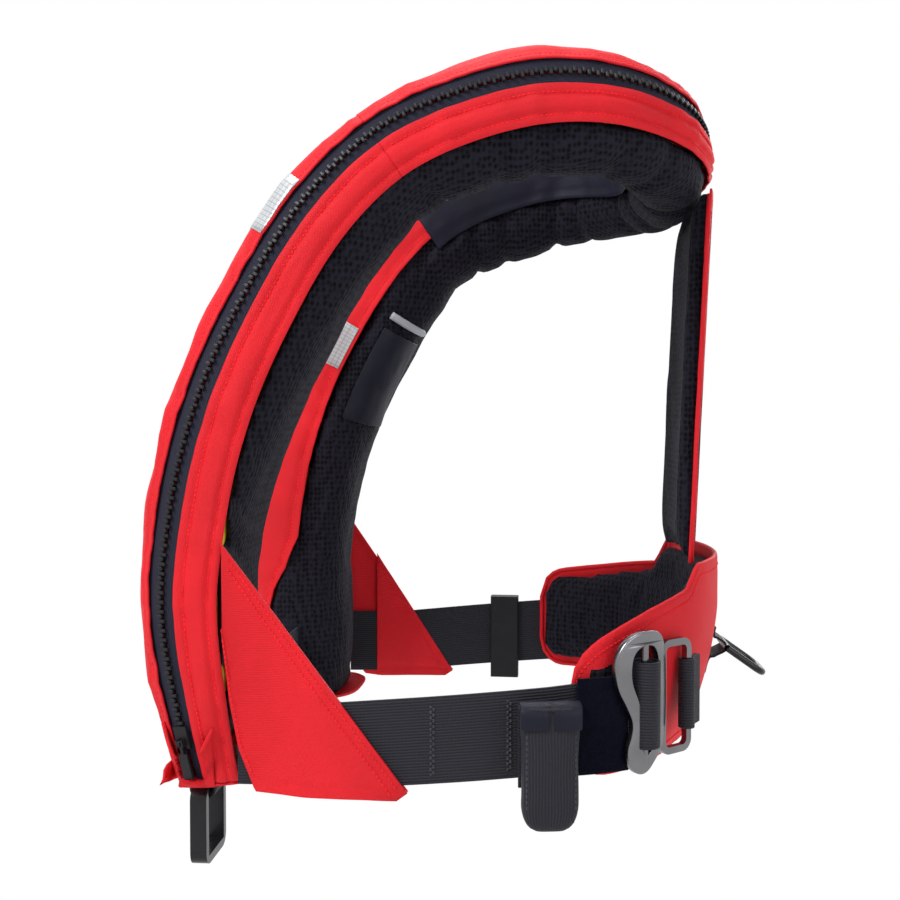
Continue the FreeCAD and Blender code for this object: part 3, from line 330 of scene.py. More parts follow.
def thicken(ob, wall, bevel=0.0):
    """Give a sheet its thickness behind its outer face, with soft edges."""
    modifier = ob.modifiers.new("thickness", "SOLIDIFY")
    modifier.thickness = wall
    modifier.offset = -1
    modifier.use_even_offset = False
    if bevel:
        soft = ob.modifiers.new("soft edge", "BEVEL")
        soft.width = bevel
        soft.segments = 2
        soft.limit_method = "ANGLE"
        soft.angle_limit = math.radians(50)
    apply_all(ob)
    ob.data.polygons.foreach_set("use_smooth", [True] * len(ob.data.polygons))


def place_piece(ob, material, body, nodes=()):
    """Give a finished piece its material and body, and hide the nodes it stands for."""
    ob.data.materials.clear()
    ob.data.materials.append(material)
    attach(ob, body)
    if nodes:
        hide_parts(*nodes)
    return ob


def soft_sheet(grid):
    """Measure a sheet's flat size from its grid, trimmed to a slanting cut's own box; the figures are not
    kept.
    """
    length, width, area = grid_measure(grid)
    if area < 0.5 * width * length:
        length = area / (0.5 * width)
    min(area, width * length)


def tube(name, path, radius, closed=False, sides=8):
    """A round tube along a line of points."""
    path = np.array(path, float)
    count = len(path)
    tangent = np.gradient(path, axis=0)
    if closed:
        tangent = np.roll(path, -1, axis=0) - np.roll(path, 1, axis=0)
    tangent /= np.maximum(np.linalg.norm(tangent, axis=1, keepdims=True), 1e-12)
    normal = unit(np.cross(tangent[0], (0.3, 0.5, 0.8)))
    vertices = []
    for i in range(count):
        normal = unit(normal - tangent[i] * normal.dot(tangent[i]))
        side = np.cross(tangent[i], normal)
        for k in range(sides):
            a = 2 * math.pi * k / sides
            vertices.append(path[i] + (normal * math.cos(a) + side * math.sin(a)) * radius)
    faces = []
    for i in range(count if closed else count - 1):
        j = (i + 1) % count
        for k in range(sides):
            m = (k + 1) % sides
            faces.append((i * sides + k, i * sides + m, j * sides + m, j * sides + k))
    if not closed:
        faces.append(tuple(range(sides))[::-1])
        faces.append(tuple((count - 1) * sides + k for k in range(sides)))
    ob = link(name, vertices, faces)
    only(ob)
    bpy.ops.object.mode_set(mode="EDIT")
    bpy.ops.mesh.select_all(action="SELECT")
    bpy.ops.mesh.normals_make_consistent(inside=False)
    bpy.ops.object.mode_set(mode="OBJECT")
    return ob


def surface_tree(*names):
    """A lookup of the fixed frame's own surfaces, for laying pieces on them."""
    vertices, faces = [], []
    for name in names:
        mesh = frame["nodes"][name].data
        base = len(vertices)
        vertices.extend(v.co.copy() for v in mesh.vertices)
        faces.extend([tuple(base + i for i in p.vertices) for p in mesh.polygons])
    return BVHTree.FromPolygons(vertices, faces)


# ------------------------------------------------------------------ materials
class Weave:
    """A small helper that builds one node material."""

    def __init__(self, name, colour, roughness, metallic=0.0, sheen=0.0, coat=0.0, specular=0.5):
        self.material = bpy.data.materials.new(name)
        self.material.use_nodes = True
        self.tree = self.material.node_tree
        self.shader = self.tree.nodes["Principled BSDF"]
        self.shader.inputs["Base Color"].default_value = (*colour, 1)
        self.shader.inputs["Roughness"].default_value = roughness
        self.shader.inputs["Metallic"].default_value = metallic
        self.shader.inputs["Sheen Weight"].default_value = sheen
        self.shader.inputs["Sheen Roughness"].default_value = 0.45
        self.shader.inputs["Coat Weight"].default_value = coat
        self.shader.inputs["Specular IOR Level"].default_value = specular
        self.colour = colour
        self.height = None
        self.place = self.tree.nodes.new("ShaderNodeTexCoord")

    def node(self, kind, **values):
        made = self.tree.nodes.new(kind)
        for key, value in values.items():
            if key in made.inputs:
                made.inputs[key].default_value = value
            else:
                setattr(made, key, value)
        return made

    def join(self, source, target):
        self.tree.links.new(source, target)

    def coords(self, output, scale=(1, 1, 1), turn=0.0):
        mapping = self.node("ShaderNodeMapping")
        mapping.inputs["Scale"].default_value = scale
        mapping.inputs["Rotation"].default_value = (0, 0, turn)
        self.join(self.place.outputs[output], mapping.inputs["Vector"])
        return mapping.outputs["Vector"]

    def noise(self, output, scale, detail=3.0):
        made = self.node("ShaderNodeTexNoise", Scale=scale, Detail=detail)
        self.join(self.coords(output), made.inputs["Vector"])
        return made.outputs["Fac"]

    def wave(self, output, scale, turn=0.0, direction="X"):
        made = self.node("ShaderNodeTexWave", bands_direction=direction, Scale=scale)
        self.join(self.coords(output, turn=turn), made.inputs["Vector"])
        return made.outputs["Fac"]

    def cells(self, output, scale, feature="F1", stretch=(1, 1, 1), randomness=1.0, turn=0.0):
        made = self.node("ShaderNodeTexVoronoi", feature=feature, Scale=scale, Randomness=randomness)
        self.join(self.coords(output, scale=stretch, turn=turn), made.inputs["Vector"])
        return made.outputs["Distance"]

    def mix(self, a, b, share, kind="MIX"):
        made = self.node("ShaderNodeMix", data_type="FLOAT") if kind == "MIX" else self.node("ShaderNodeMath",
                                                                                              operation=kind)
        if kind == "MIX":
            made.inputs["Factor"].default_value = share
            self.join(a, made.inputs["A"])
            self.join(b, made.inputs["B"])
            return made.outputs["Result"]
        self.join(a, made.inputs[0])
        self.join(b, made.inputs[1])
        return made.outputs[0]

    def ramp(self, source, low, high, dark, light):
        made = self.node("ShaderNodeValToRGB")
        made.color_ramp.elements[0].position = low
        made.color_ramp.elements[1].position = high
        made.color_ramp.elements[0].color = (*dark, 1)
        made.color_ramp.elements[1].color = (*light, 1)
        self.join(source, made.inputs["Fac"])
        return made.outputs["Color"]

    def paint(self, colour):
        self.join(colour, self.shader.inputs["Base Color"])

    def rough(self, source, low, high):
        made = self.node("ShaderNodeMapRange")
        made.inputs["To Min"].default_value = low
        made.inputs["To Max"].default_value = high
        self.join(source, made.inputs["Value"])
        self.join(made.outputs["Result"], self.shader.inputs["Roughness"])

    def bump(self, source, depth, strength=1.0):
        made = self.node("ShaderNodeBump", Strength=strength, Distance=depth)
        self.join(source, made.inputs["Height"])
        if self.height is not None:
            self.join(self.height, made.inputs["Normal"])
        self.height = made.outputs["Normal"]
        self.join(self.height, self.shader.inputs["Normal"])
        return self


def shade(colour, factor):
    return tuple(min(1.0, c * factor) for c in colour)


def nylon(name, colour, weave, output="UV"):
    """Woven nylon with a fine diagonal twill and soft creases, painted darker in the creases' hollows and
    lighter on their crests as painted shade, with a fine random thread tone.
    """
    m = Weave(name, colour, 0.62, sheen=0.03, specular=0.22)
    m.shader.inputs["Sheen Tint"].default_value = (*shade(colour, 1.3), 1)
    twill = m.wave(output, 0.31 / weave, turn=0.9)
    cross = m.wave(output, 0.31 / weave, turn=-0.65)
    fibre = m.mix(twill, cross, 0.5, "MULTIPLY")
    cloud = m.noise(output, 14, 4)
    thread = m.noise(output, 900, 2)
    # painted shade: the colour follows the cloud that the bump raises, darker in the creases' hollows and
    # lighter on their crests; the thread noise is a random tone
    crease_shade_tone = m.mix(cloud, thread, 0.3)
    m.paint(m.ramp(crease_shade_tone, 0.3, 0.72, shade(colour, 0.84), shade(colour, 1.14)))
    m.rough(cloud, 0.52, 0.68)
    m.bump(cloud, 0.0030, 0.6)
    m.bump(fibre, weave * 0.40, 0.7)
    return m.material


def spacer_mesh(name, colour, cell, output="Object"):
    """Coarse knitted spacer mesh: rows of open eyes between plump yarns, the eyes painted near black as shade
    and the yarns painted lighter as lit ridges.
    """
    m = Weave(name, colour, 0.85, sheen=0.04, specular=0.12)
    m.shader.inputs["Sheen Tint"].default_value = (0.4, 0.4, 0.5, 1)
    eyes = m.cells(output, 1 / cell, stretch=(1, 1, 0.8), randomness=0.35)
    fuzz = m.noise(output, 1500, 2)
    # painted shade: the eyes' hollows are painted near black and the yarns' ridges lighter, following the
    # same cells that the bump sinks
    m.paint(m.ramp(eyes, 0.18, 0.62, shade(colour, 0.1), shade(colour, 2.4)))
    m.rough(fuzz, 0.7, 0.95)
    m.bump(fuzz, 0.0003, 0.4)
    m.bump(eyes, cell * 0.42, 0.9)
    return m.material


def webbing(name, colour, rib, output="UV"):
    """Flat webbing: ribs along its length and a small herringbone across, painted darker in their grooves and
    lighter on their crests as painted shade and highlight.
    """
    m = Weave(name, colour, 0.6, sheen=0.08, specular=0.25)
    m.shader.inputs["Sheen Tint"].default_value = (0.4, 0.4, 0.5, 1)
    ribs = m.wave(output, 0.31 / rib, direction="Y")
    picks = m.wave(output, 0.31 / (rib * 0.45), direction="X")
    both = m.mix(ribs, picks, 0.35)
    cloud = m.noise(output, 60, 3)
    # painted shade and highlight: the colour follows the ribs' own relief, darker in the grooves and lighter
    # on the crests, with a random cloudy tone
    m.paint(m.ramp(m.mix(both, cloud, 0.3), 0.25, 0.75, shade(colour, 0.6), shade(colour, 1.9)))
    m.rough(cloud, 0.5, 0.7)
    m.bump(both, rib * 0.3, 0.8)
    return m.material


def pile(name, colour, output="Object"):
    """Hook and loop pile: short fuzzy loops, painted darker between the loops and lighter on their tops as
    painted shade and highlight.
    """
    m = Weave(name, colour, 0.95, sheen=0.12, specular=0.05)
    m.shader.inputs["Sheen Tint"].default_value = (0.35, 0.38, 0.55, 1)
    fuzz = m.noise(output, 900, 6)
    tuft = m.noise(output, 220, 4)
    # painted shade and highlight: the colour follows the fuzz and tufts that the bumps raise, darker in their
    # hollows and lighter on their tops
    m.paint(m.ramp(m.mix(fuzz, tuft, 0.4), 0.3, 0.7, shade(colour, 0.5), shade(colour, 1.8)))
    m.bump(fuzz, 0.0006, 1.0)
    m.bump(tuft, 0.0008, 0.8)
    return m.material


def lining(name, colour, output="Object"):
    """Smooth tight lining cloth with soft creases, painted darker in the creases' hollows and lighter on
    their crests as painted shade.
    """
    m = Weave(name, colour, 0.6, sheen=0.05, specular=0.2)
    m.shader.inputs["Sheen Tint"].default_value = (0.3, 0.33, 0.5, 1)
    cloud = m.noise(output, 25, 5)
    fine = m.noise(output, 1300, 2)
    # painted shade: the colour follows the cloud that the crease bump raises, darker in the hollows and
    # lighter on the crests
    m.paint(m.ramp(cloud, 0.3, 0.7, shade(colour, 0.7), shade(colour, 1.4)))
    m.rough(cloud, 0.42, 0.62)
    m.bump(cloud, 0.004, 0.5)
    m.bump(fine, 0.0002, 0.5)
    return m.material


def reflective(name, colour, cell, output="UV"):
    """Silver reflective tape, pressed with a fine honeycomb."""
    m = Weave(name, colour, 0.32, metallic=0.35, specular=0.7)
    comb = m.cells(output, 1 / cell, feature="DISTANCE_TO_EDGE", randomness=0.0, stretch=(1, 0.87, 1))
    wear = m.noise(output, 80, 4)
    m.paint(m.ramp(comb, 0.02, 0.12, shade(colour, 0.55), colour))
    m.rough(wear, 0.25, 0.45)
    m.bump(comb, 0.0002, 0.6)
    return m.material


def moulded(name, colour, roughness, coat=0.0, grain=0.0001, output="Object"):
    """Moulded plastic or lacquer with a faint grain and a cloudy tone."""
    m = Weave(name, colour, roughness, coat=coat, specular=0.25)
    fine = m.noise(output, 1200, 3)
    cloud = m.noise(output, 70, 4)
    m.paint(m.ramp(cloud, 0.3, 0.75, shade(colour, 0.8), shade(colour, 1.35)))
    m.rough(cloud, max(0.05, roughness - 0.06), roughness + 0.08)
    m.bump(fine, grain, 0.5)
    return m.material


def metal(name, colour, roughness, scuff=0.08, output="Object"):
    """Polished or plated metal with fine handling scratches."""
    m = Weave(name, colour, roughness, metallic=1.0)
    scratch = m.node("ShaderNodeTexNoise", Scale=160.0, Detail=5.0)
    m.join(m.coords(output, scale=(1, 1, 7)), scratch.inputs["Vector"])
    cloud = m.noise(output, 40, 4)
    both = m.mix(scratch.outputs["Fac"], cloud, 0.5)
    m.paint(m.ramp(cloud, 0.3, 0.75, shade(colour, 0.85), shade(colour, 1.15)))
    m.rough(both, max(0.04, roughness - scuff / 2), roughness + scuff)
    m.bump(scratch.outputs["Fac"], 0.00004, 0.4)
    return m.material


# ------------------------------------------------------------------ user settings
class JacketSettings(bpy.types.PropertyGroup):
    """Sizes and colours of the life jacket's finishes."""

    red: bpy.props.FloatVectorProperty(name="Cover red", description="Colour of the nylon cover", size=3,
                                       subtype="COLOR", min=0, max=1, default=(0.70, 0.010, 0.018))
    navy: bpy.props.FloatVectorProperty(name="Lining navy", description="Colour of the linings", size=3,
                                        subtype="COLOR", min=0, max=1, default=(0.0055, 0.006, 0.015))
    black: bpy.props.FloatVectorProperty(name="Webbing black", description="Colour of the webbing", size=3,
                                         subtype="COLOR", min=0, max=1, default=(0.0095, 0.0095, 0.014))
    weave: bpy.props.FloatProperty(name="Weave", description="Size of the nylon's weave", unit="LENGTH",
                                   default=0.0009, min=0.0003, max=0.004)
    mesh_cell: bpy.props.FloatProperty(name="Mesh eye", description="Spacing of the spacer mesh's eyes",
                                       unit="LENGTH", default=0.0030, min=0.001, max=0.01)
    rib: bpy.props.FloatProperty(name="Webbing rib", description="Spacing of the webbing's ribs",
                                 unit="LENGTH", default=0.0016, min=0.0005, max=0.006)
    tooth_pitch: bpy.props.FloatProperty(name="Tooth pitch", description="Spacing of the zip's teeth",
                                         unit="LENGTH", default=0.0027, min=0.001, max=0.01)
    stitch: bpy.props.FloatProperty(name="Stitch", description="Length of one stitch", unit="LENGTH",
                                    default=0.0028, min=0.001, max=0.01)
    wrinkle: bpy.props.FloatProperty(name="Wrinkle", description="Depth of the cover's creases",
                                     unit="LENGTH", default=0.0034, min=0.0, max=0.01)


MATERIALS = {}


def finish_of(name):
    """The named material, made once from the settings."""
    if name in MATERIALS:
        return MATERIALS[name]
    s = bpy.context.scene.jacket
    red, navy, black = tuple(s.red), tuple(s.navy), tuple(s.black)
    makers = {
        "red nylon": lambda: nylon("Red nylon", red, s.weave),
        # painted shade: the red nylon painted 8% darker, for the lobe bottoms, the piping and the cup rims
        "shaded red": lambda: nylon("Shaded red nylon", shade(red, 0.92), s.weave, "Object"),
        "spacer mesh": lambda: spacer_mesh("Black spacer mesh", (0.0055, 0.0052, 0.0085), s.mesh_cell),
        "navy lining": lambda: lining("Navy lining", navy),
        "zip tape": lambda: webbing("Zip tape", shade(navy, 1.3), 0.0011),
        "teeth": lambda: moulded("Moulded teeth", (0.010, 0.010, 0.012), 0.38),
        "webbing": lambda: webbing("Ribbed webbing", black, s.rib),
        "plain webbing": lambda: webbing("Tab webbing", black, s.rib, "Object"),
        "pile": lambda: pile("Fastening pile", shade(navy, 0.45)),
        "reflective": lambda: reflective("Reflective tape", (0.50, 0.52, 0.53), 0.0028),
        "pale binding": lambda: nylon("Pale binding", (0.42, 0.44, 0.47), 0.0012, "Object"),
        "thread": lambda: moulded("Red thread", shade(red, 1.15), 0.7),
        "dark thread": lambda: moulded("Dark thread", (0.05, 0.05, 0.06), 0.7),
        "pale thread": lambda: moulded("Pale thread", (0.45, 0.47, 0.5), 0.7),
        "gunmetal": lambda: metal("Dark polished steel", (0.20, 0.20, 0.21), 0.22),
        "black metal": lambda: moulded("Black coated metal", (0.006, 0.006, 0.008), 0.28, coat=0.12),
        "black plastic": lambda: moulded("Black plastic", (0.008, 0.008, 0.010), 0.5),
        "bladder": lambda: moulded("Coated bladder film", (0.8, 0.6, 0.04), 0.35),
        "steel": lambda: metal("Plated steel", (0.6, 0.6, 0.6), 0.28),
        "green": lambda: moulded("Green plastic", (0.03, 0.35, 0.08), 0.3),
        "signal": lambda: moulded("Signal red plastic", (0.7, 0.08, 0.02), 0.35),
        "orange": lambda: moulded("Orange plastic", (0.8, 0.25, 0.02), 0.35),
    }
    MATERIALS[name] = makers[name]()
    return MATERIALS[name]


# ------------------------------------------------------------------ skins of the horseshoe
def wrinkled(grid, depth, seed, sag=0.0, hem=0.006, start=0.0):
    """Push a cloth's grid in and out: puckers at its seams, soft folds between, a dip at each hem."""
    normals = grid_normals(grid)
    rows, columns = grid.shape[:2]
    middle = grid[:, columns // 2]
    along = start + np.concatenate([[0], np.cumsum(np.linalg.norm(np.diff(middle, axis=0), axis=1))])
    out = grid.copy()
    for i in range(rows):
        over = np.concatenate([[0], np.cumsum(np.linalg.norm(np.diff(grid[i], axis=0), axis=1))])
        width = over[-1]
        for j in range(columns):
            edge = min(over[j], width - over[j])
            u, v = along[i], over[j]
            x, y, z = grid[i, j]
            inner = min(1.0, edge / 0.012)
            pucker = noise.noise(Vector((u * 95, v * 16, seed))) * math.exp(-((edge - 0.007) / 0.009) ** 2)
            folds = noise.noise(Vector((u * 26 + v * 9, v * 30 - u * 6, seed + 4)))
            broad = noise.noise(Vector((x * 13, y * 13, z * 13 + seed)))
            dip = -0.55 * math.exp(-((edge - hem) / 0.0016) ** 2)
            lift = sag * math.sin(math.pi * min(1.0, max(0.0, v / max(width, 1e-6))))
            push = depth * (0.55 * pucker + inner * (0.75 * folds + 0.9 * broad) + 0.8 * dip) + lift
            out[i, j] += normals[i, j] * push
    return out


def outward_sign(grid, sections):
    """+1 where the grid's normals already point away from the sections' middles, else -1."""
    i, j = grid.shape[0] // 2, grid.shape[1] // 2
    away = grid[i, j] - sections[i].middle
    return 1.0 if grid_normals(grid)[i, j].dot(away) > 0 else -1.0


# The red cover's inner edge at stations up a lobe, as a share of the outline's half depth.
EDGE_STATIONS = (0, 10, 14, 18, 26, 80)
INNER_EDGES = (0.62, 0.50, 0.34, 0.10, -0.11, -0.12)


def inner_edge(index):
    """The share at which the cover ends on the inner side of a lobe."""
    return float(np.interp(min(index, COUNT - 1 - index), EDGE_STATIONS, INNER_EDGES))


def rim_grid(run, start, stop, columns, inset=0.0, step=1, tuck=None):
    """Points on the outline between two angles, for a run of sections.

    With a tuck, the run stops at the cover's inner edge, drawn back by that share.
    """
    low, high = run
    chosen = SECTIONS[low:high + 1:step]
    rows = []
    for index, s in zip(range(low, high + 1, step), chosen):
        if tuck is not None:
            stop = math.pi - rim_angle(inner_edge(index) + tuck)
        angles = np.linspace(start, stop, 4 * columns)
        rows.append(resample([s.rim(a, inset) for a in angles], columns))
    grid = np.array(rows)
    if outward_sign(grid, chosen) < 0:
        grid = grid[:, ::-1]
    return grid, chosen


def skin(name, run, start, stop, columns, material, nodes, wall=0.0014, inset=0.0, depth=None, seed=1.0,
         sag=0.0, hem=0.006, tuck=None):
    """One sewn panel of the horseshoe, as a creased sheet with its own thickness."""
    grid, chosen = rim_grid(run, start, stop, columns, inset, tuck=tuck)
    settings = bpy.context.scene.jacket
    creased = wrinkled(grid, settings.wrinkle if depth is None else depth, seed, sag, hem, REACH[run[0]])
    i, j = creased.shape[0] // 2, creased.shape[1] // 2
    ob = grid_object(name, creased, creased[i, j] - chosen[i].middle, REACH[run[0]])
    thicken(ob, wall, wall * 0.35)
    place_piece(ob, material, "jacket", nodes)
    soft_sheet(creased)
    return ob


FRONT_STOP = math.pi - rim_angle(MESH_EDGE)
COVER_START = rim_angle(ZIP_FRONT)
STRIP_STOP = rim_angle(ZIP_REAR)
MESH_START = rim_angle(MESH_EDGE)


class JACKET_OT_covers(bpy.types.Operator):
    """Red front covers over both lobes and the collar"""

    bl_idname = "jacket.covers"
    bl_label = "Front covers"

    def execute(self, context):
        red = finish_of("red nylon")
        for side, seed in (("left", 1.0), ("right", 1.0)):
            skin(side + "_lobe_front", RUNS[side], COVER_START, FRONT_STOP, 44, red,
                 [side + "_lobe_cover"], seed=seed, sag=0.001, tuck=0.0)
        stop = math.pi - rim_angle(LINING_EDGE)
        skin("collar_front", RUNS["collar"], COVER_START, stop, 24, red, ["collar_cover"],
             seed=1.0,
             sag=0.001)
        return {"FINISHED"}


class JACKET_OT_side_strips(bpy.types.Operator):
    """Red outer side strips between the zip and the mesh"""

    bl_idname = "jacket.side_strips"
    bl_label = "Side strips"

    def execute(self, context):
        red = finish_of("red nylon")
        for side, seed in (("left", 5.0), ("right", 5.0)):
            skin(side + "_strip", RUNS[side], STRIP_STOP, MESH_START, 18, red,
                 [side + "_side_strip"], seed=seed, sag=0.0012)
        skin("collar_strip", RUNS["collar"], STRIP_STOP, MESH_START, 18, red,
             ["collar_side_strip"], seed=5.0, sag=0.0012)
        return {"FINISHED"}


def settle_cloth(ob, voxel, pressure, frames, cap):
    """Remesh a closed pad, blow it up as cloth, cap how far it moves, and smooth it once."""
    only(ob)
    remesh = ob.modifiers.new("even mesh", "REMESH")
    remesh.mode = "VOXEL"
    remesh.voxel_size = voxel
    apply_all(ob)
    start = np.empty(len(ob.data.vertices) * 3)
    ob.data.vertices.foreach_get("co", start)
    start = start.reshape(-1, 3)
    cloth = ob.modifiers.new("stuffing", "CLOTH")
    cloth.settings.use_pressure = True
    cloth.settings.uniform_pressure_force = pressure
    cloth.settings.quality = 5
    cloth.settings.mass = 0.3
    cloth.settings.tension_stiffness = 15
    cloth.settings.compression_stiffness = 15
    cloth.settings.bending_stiffness = 0.5
    cloth.settings.effector_weights.gravity = 0
    cloth.point_cache.frame_start = 1
    cloth.point_cache.frame_end = frames
    scene = bpy.context.scene
    for step in range(1, frames + 1):
        scene.frame_set(step)
    evaluated = ob.evaluated_get(bpy.context.evaluated_depsgraph_get())
    moved = np.empty(len(evaluated.data.vertices) * 3)
    evaluated.data.vertices.foreach_get("co", moved)
    ob.modifiers.remove(cloth)
    scene.frame_set(1)
    shift = moved.reshape(-1, 3) - start
    length = np.maximum(np.linalg.norm(shift, axis=1, keepdims=True), 1e-9)
    shift *= np.minimum(1.0, cap / length)
    ob.data.vertices.foreach_set("co", (start + shift).ravel())
    ob.data.update()
    smooth = ob.modifiers.new("smooth", "SUBSURF")
    smooth.levels = 1
    smooth.render_levels = 1
    apply_all(ob)
    ob.data.polygons.foreach_set("use_smooth", [True] * len(ob.data.polygons))
    return ob


def closed_rings(name, rings):
    """A closed body through rings of points, its two ends capped by fans."""
    rows, count = len(rings), len(rings[0])
    vertices = [p for ring in rings for p in ring]
    faces = []
    for i in range(rows - 1):
        for j in range(count):
            k = (j + 1) % count
            faces.append((i * count + j, i * count + k, (i + 1) * count + k, (i + 1) * count + j))
    for row, order in ((0, 1), (rows - 1, -1)):
        centre = len(vertices)
        vertices.append(np.mean(rings[row], axis=0))
        for j in range(count):
            k = (j + 1) % count
            face = (row * count + k, row * count + j, centre)
            faces.append(face if order > 0 else face[::-1])
    ob = link(name, vertices, faces)
    only(ob)
    bpy.ops.object.mode_set(mode="EDIT")
    bpy.ops.mesh.select_all(action="SELECT")
    bpy.ops.mesh.normals_make_consistent(inside=False)
    bpy.ops.object.mode_set(mode="OBJECT")
    return ob


def section_finder():
    """A lookup from a point to its nearest section."""
    tree = KDTree(COUNT)
    for i, s in enumerate(SECTIONS):
        tree.insert(Vector(s.middle), i)
    tree.balance()
    return tree


# How deep the body side of the mesh is at stations round the horseshoe, left bottom to right bottom,
# as a share of the sewn outline's own depth.
STATIONS = (0, 18, 32, 38, 46, 60, 80, 95, COUNT // 2,
            COUNT - 96, COUNT - 81, COUNT - 50, COUNT - 36, COUNT - 1)
MESH_DEPTHS = (0.24, 0.21, 0.21, 0.33, 0.50, 0.62, 0.78, 0.95, 1.30, 1.45, 1.10, 0.90, 0.76, 0.76)
TUCK = 0.09
OVERLAP = 4
LIP = 0.0065
FILM = 0.0035


def pad_body(name, run, inset, nodes, pleats, pleat_depth):
    """A mesh pad on the body side of the horseshoe, stuffed and creased across."""
    low, high = run
    rings = []
    for index in range(max(0, low - OVERLAP), min(COUNT, high + OVERLAP + 1), 2):
        s = SECTIONS[index]
        start = rim_angle(MESH_EDGE + TUCK)
        edge = (MESH_EDGE if low == RUNS["collar"][0] else inner_edge(index)) + TUCK
        stop = -math.pi - rim_angle(edge)
        arc = np.array(resample([s.rim(a, inset) for a in np.linspace(start, stop, 60)], 28))
        share = float(np.interp(index, STATIONS, MESH_DEPTHS))
        height = (arc - s.middle) @ s.front
        level = height[0]
        sunk = np.where(height < level, (1 - share) * (level - height), 0.0)
        ring = list(arc + np.outer(sunk, s.front))
        if edge > MESH_EDGE + TUCK:
            foot = -math.pi - rim_angle(MESH_EDGE + TUCK)
            ring += [s.rim(a, inset + LIP) for a in np.linspace(stop, foot, 6)]
        ring += [ring[-1] + (ring[0] - ring[-1]) * t for t in (0.2, 0.4, 0.6, 0.8)]
        rings.append(np.array(ring))
    ob = closed_rings(name, rings)
    settle_cloth(ob, 0.005, 4.0, 16, 0.0035)
    tree = section_finder()
    coords = np.empty(len(ob.data.vertices) * 3)
    ob.data.vertices.foreach_get("co", coords)
    coords = coords.reshape(-1, 3)
    for i, p in enumerate(coords):
        _, nearest, _ = tree.find(Vector(p))
        s = SECTIONS[nearest]
        away = p - s.middle
        away -= s.along * away.dot(s.along)
        length = max(np.linalg.norm(away), 1e-6)
        place = REACH[nearest] + float((p - s.middle).dot(s.along))
        crease = 0.0
        for k, at in enumerate(pleats):
            lean = 0.012 * noise.noise(Vector((k * 3.1, 0.5, 1.7))) * away.dot(s.across) / length * 2
            crease += math.exp(-((place - at - lean) / 0.0055) ** 2)
        lumps = 0.5 * noise.noise(Vector(p * 34)) + 0.5 * noise.noise(Vector(p * 70))
        below = 1.0 if away.dot(s.front) < 0 else 0.35
        coords[i] = p + away / length * (0.0018 * lumps - pleat_depth * min(1.0, crease) * below)
    ob.data.vertices.foreach_set("co", coords.ravel())
    ob.data.update()
    place_piece(ob, finish_of("spacer mesh"), "jacket", nodes)
    return ob


class JACKET_OT_mesh_pads(bpy.types.Operator):
    """Black spacer mesh pads on the body side of the lobes and collar"""

    bl_idname = "jacket.mesh_pads"
    bl_label = "Mesh pads"

    def execute(self, context):
        collar_low, collar_high = REACH[RUNS["collar"][0]], REACH[RUNS["collar"][1]]
        places = (0.04, 0.13, 0.19, 0.30, 0.36, 0.47, 0.55, 0.61, 0.72, 0.79, 0.90, 0.96)
        pleats = [collar_low + (collar_high - collar_low) * t for t in places]
        pad_body("left_pad", RUNS["left"], 0.0025, ["left_mesh_pad"], [], 0.0)
        pad_body("right_pad", RUNS["right"], 0.0025, ["right_mesh_pad"], [], 0.0)
        pad_body("collar_pad", RUNS["collar"], 0.0025, ["collar_mesh_pad"], pleats, 0.0034)
        return {"FINISHED"}


class JACKET_OT_bladder(bpy.types.Operator):
    """The folded bladder, flat on the mesh pads round the whole horseshoe"""

    bl_idname = "jacket.bladder"
    bl_label = "Bladder"

    def execute(self, context):
        nodes = ["bladder"]
        for name, (first, last) in RUNS.items():
            rings = []
            for index in range(max(8, first), min(COUNT - 9, last) + 1, 2):
                s = SECTIONS[index]
                height = (MESH_EDGE + TUCK) * s.half_depth + 0.001
                half = s.half_width - 0.014
                low = s.middle + s.front * height
                high = s.middle + s.front * (height + FILM)
                ring = [low + s.across * a for a in np.linspace(-half, half, 9)]
                ring += [high + s.across * a for a in np.linspace(half, -half, 9)]
                rings.append(np.array(ring))
            ob = closed_rings(name + "_bladder", rings)
            place_piece(ob, finish_of("bladder"), "jacket", nodes)
            nodes = []
        return {"FINISHED"}


class JACKET_OT_neck_lining(bpy.types.Operator):
    """Smooth navy lining on the collar's inner wall"""

    bl_idname = "jacket.neck_lining"
    bl_label = "Neck lining"

    def execute(self, context):
        start = math.pi - rim_angle(LINING_EDGE - 0.02)
        skin("collar_lining", RUNS["collar"], start, FRONT_STOP, 14, finish_of("navy lining"),
             ["neck_lining"], seed=9.0, depth=0.0022)
        return {"FINISHED"}


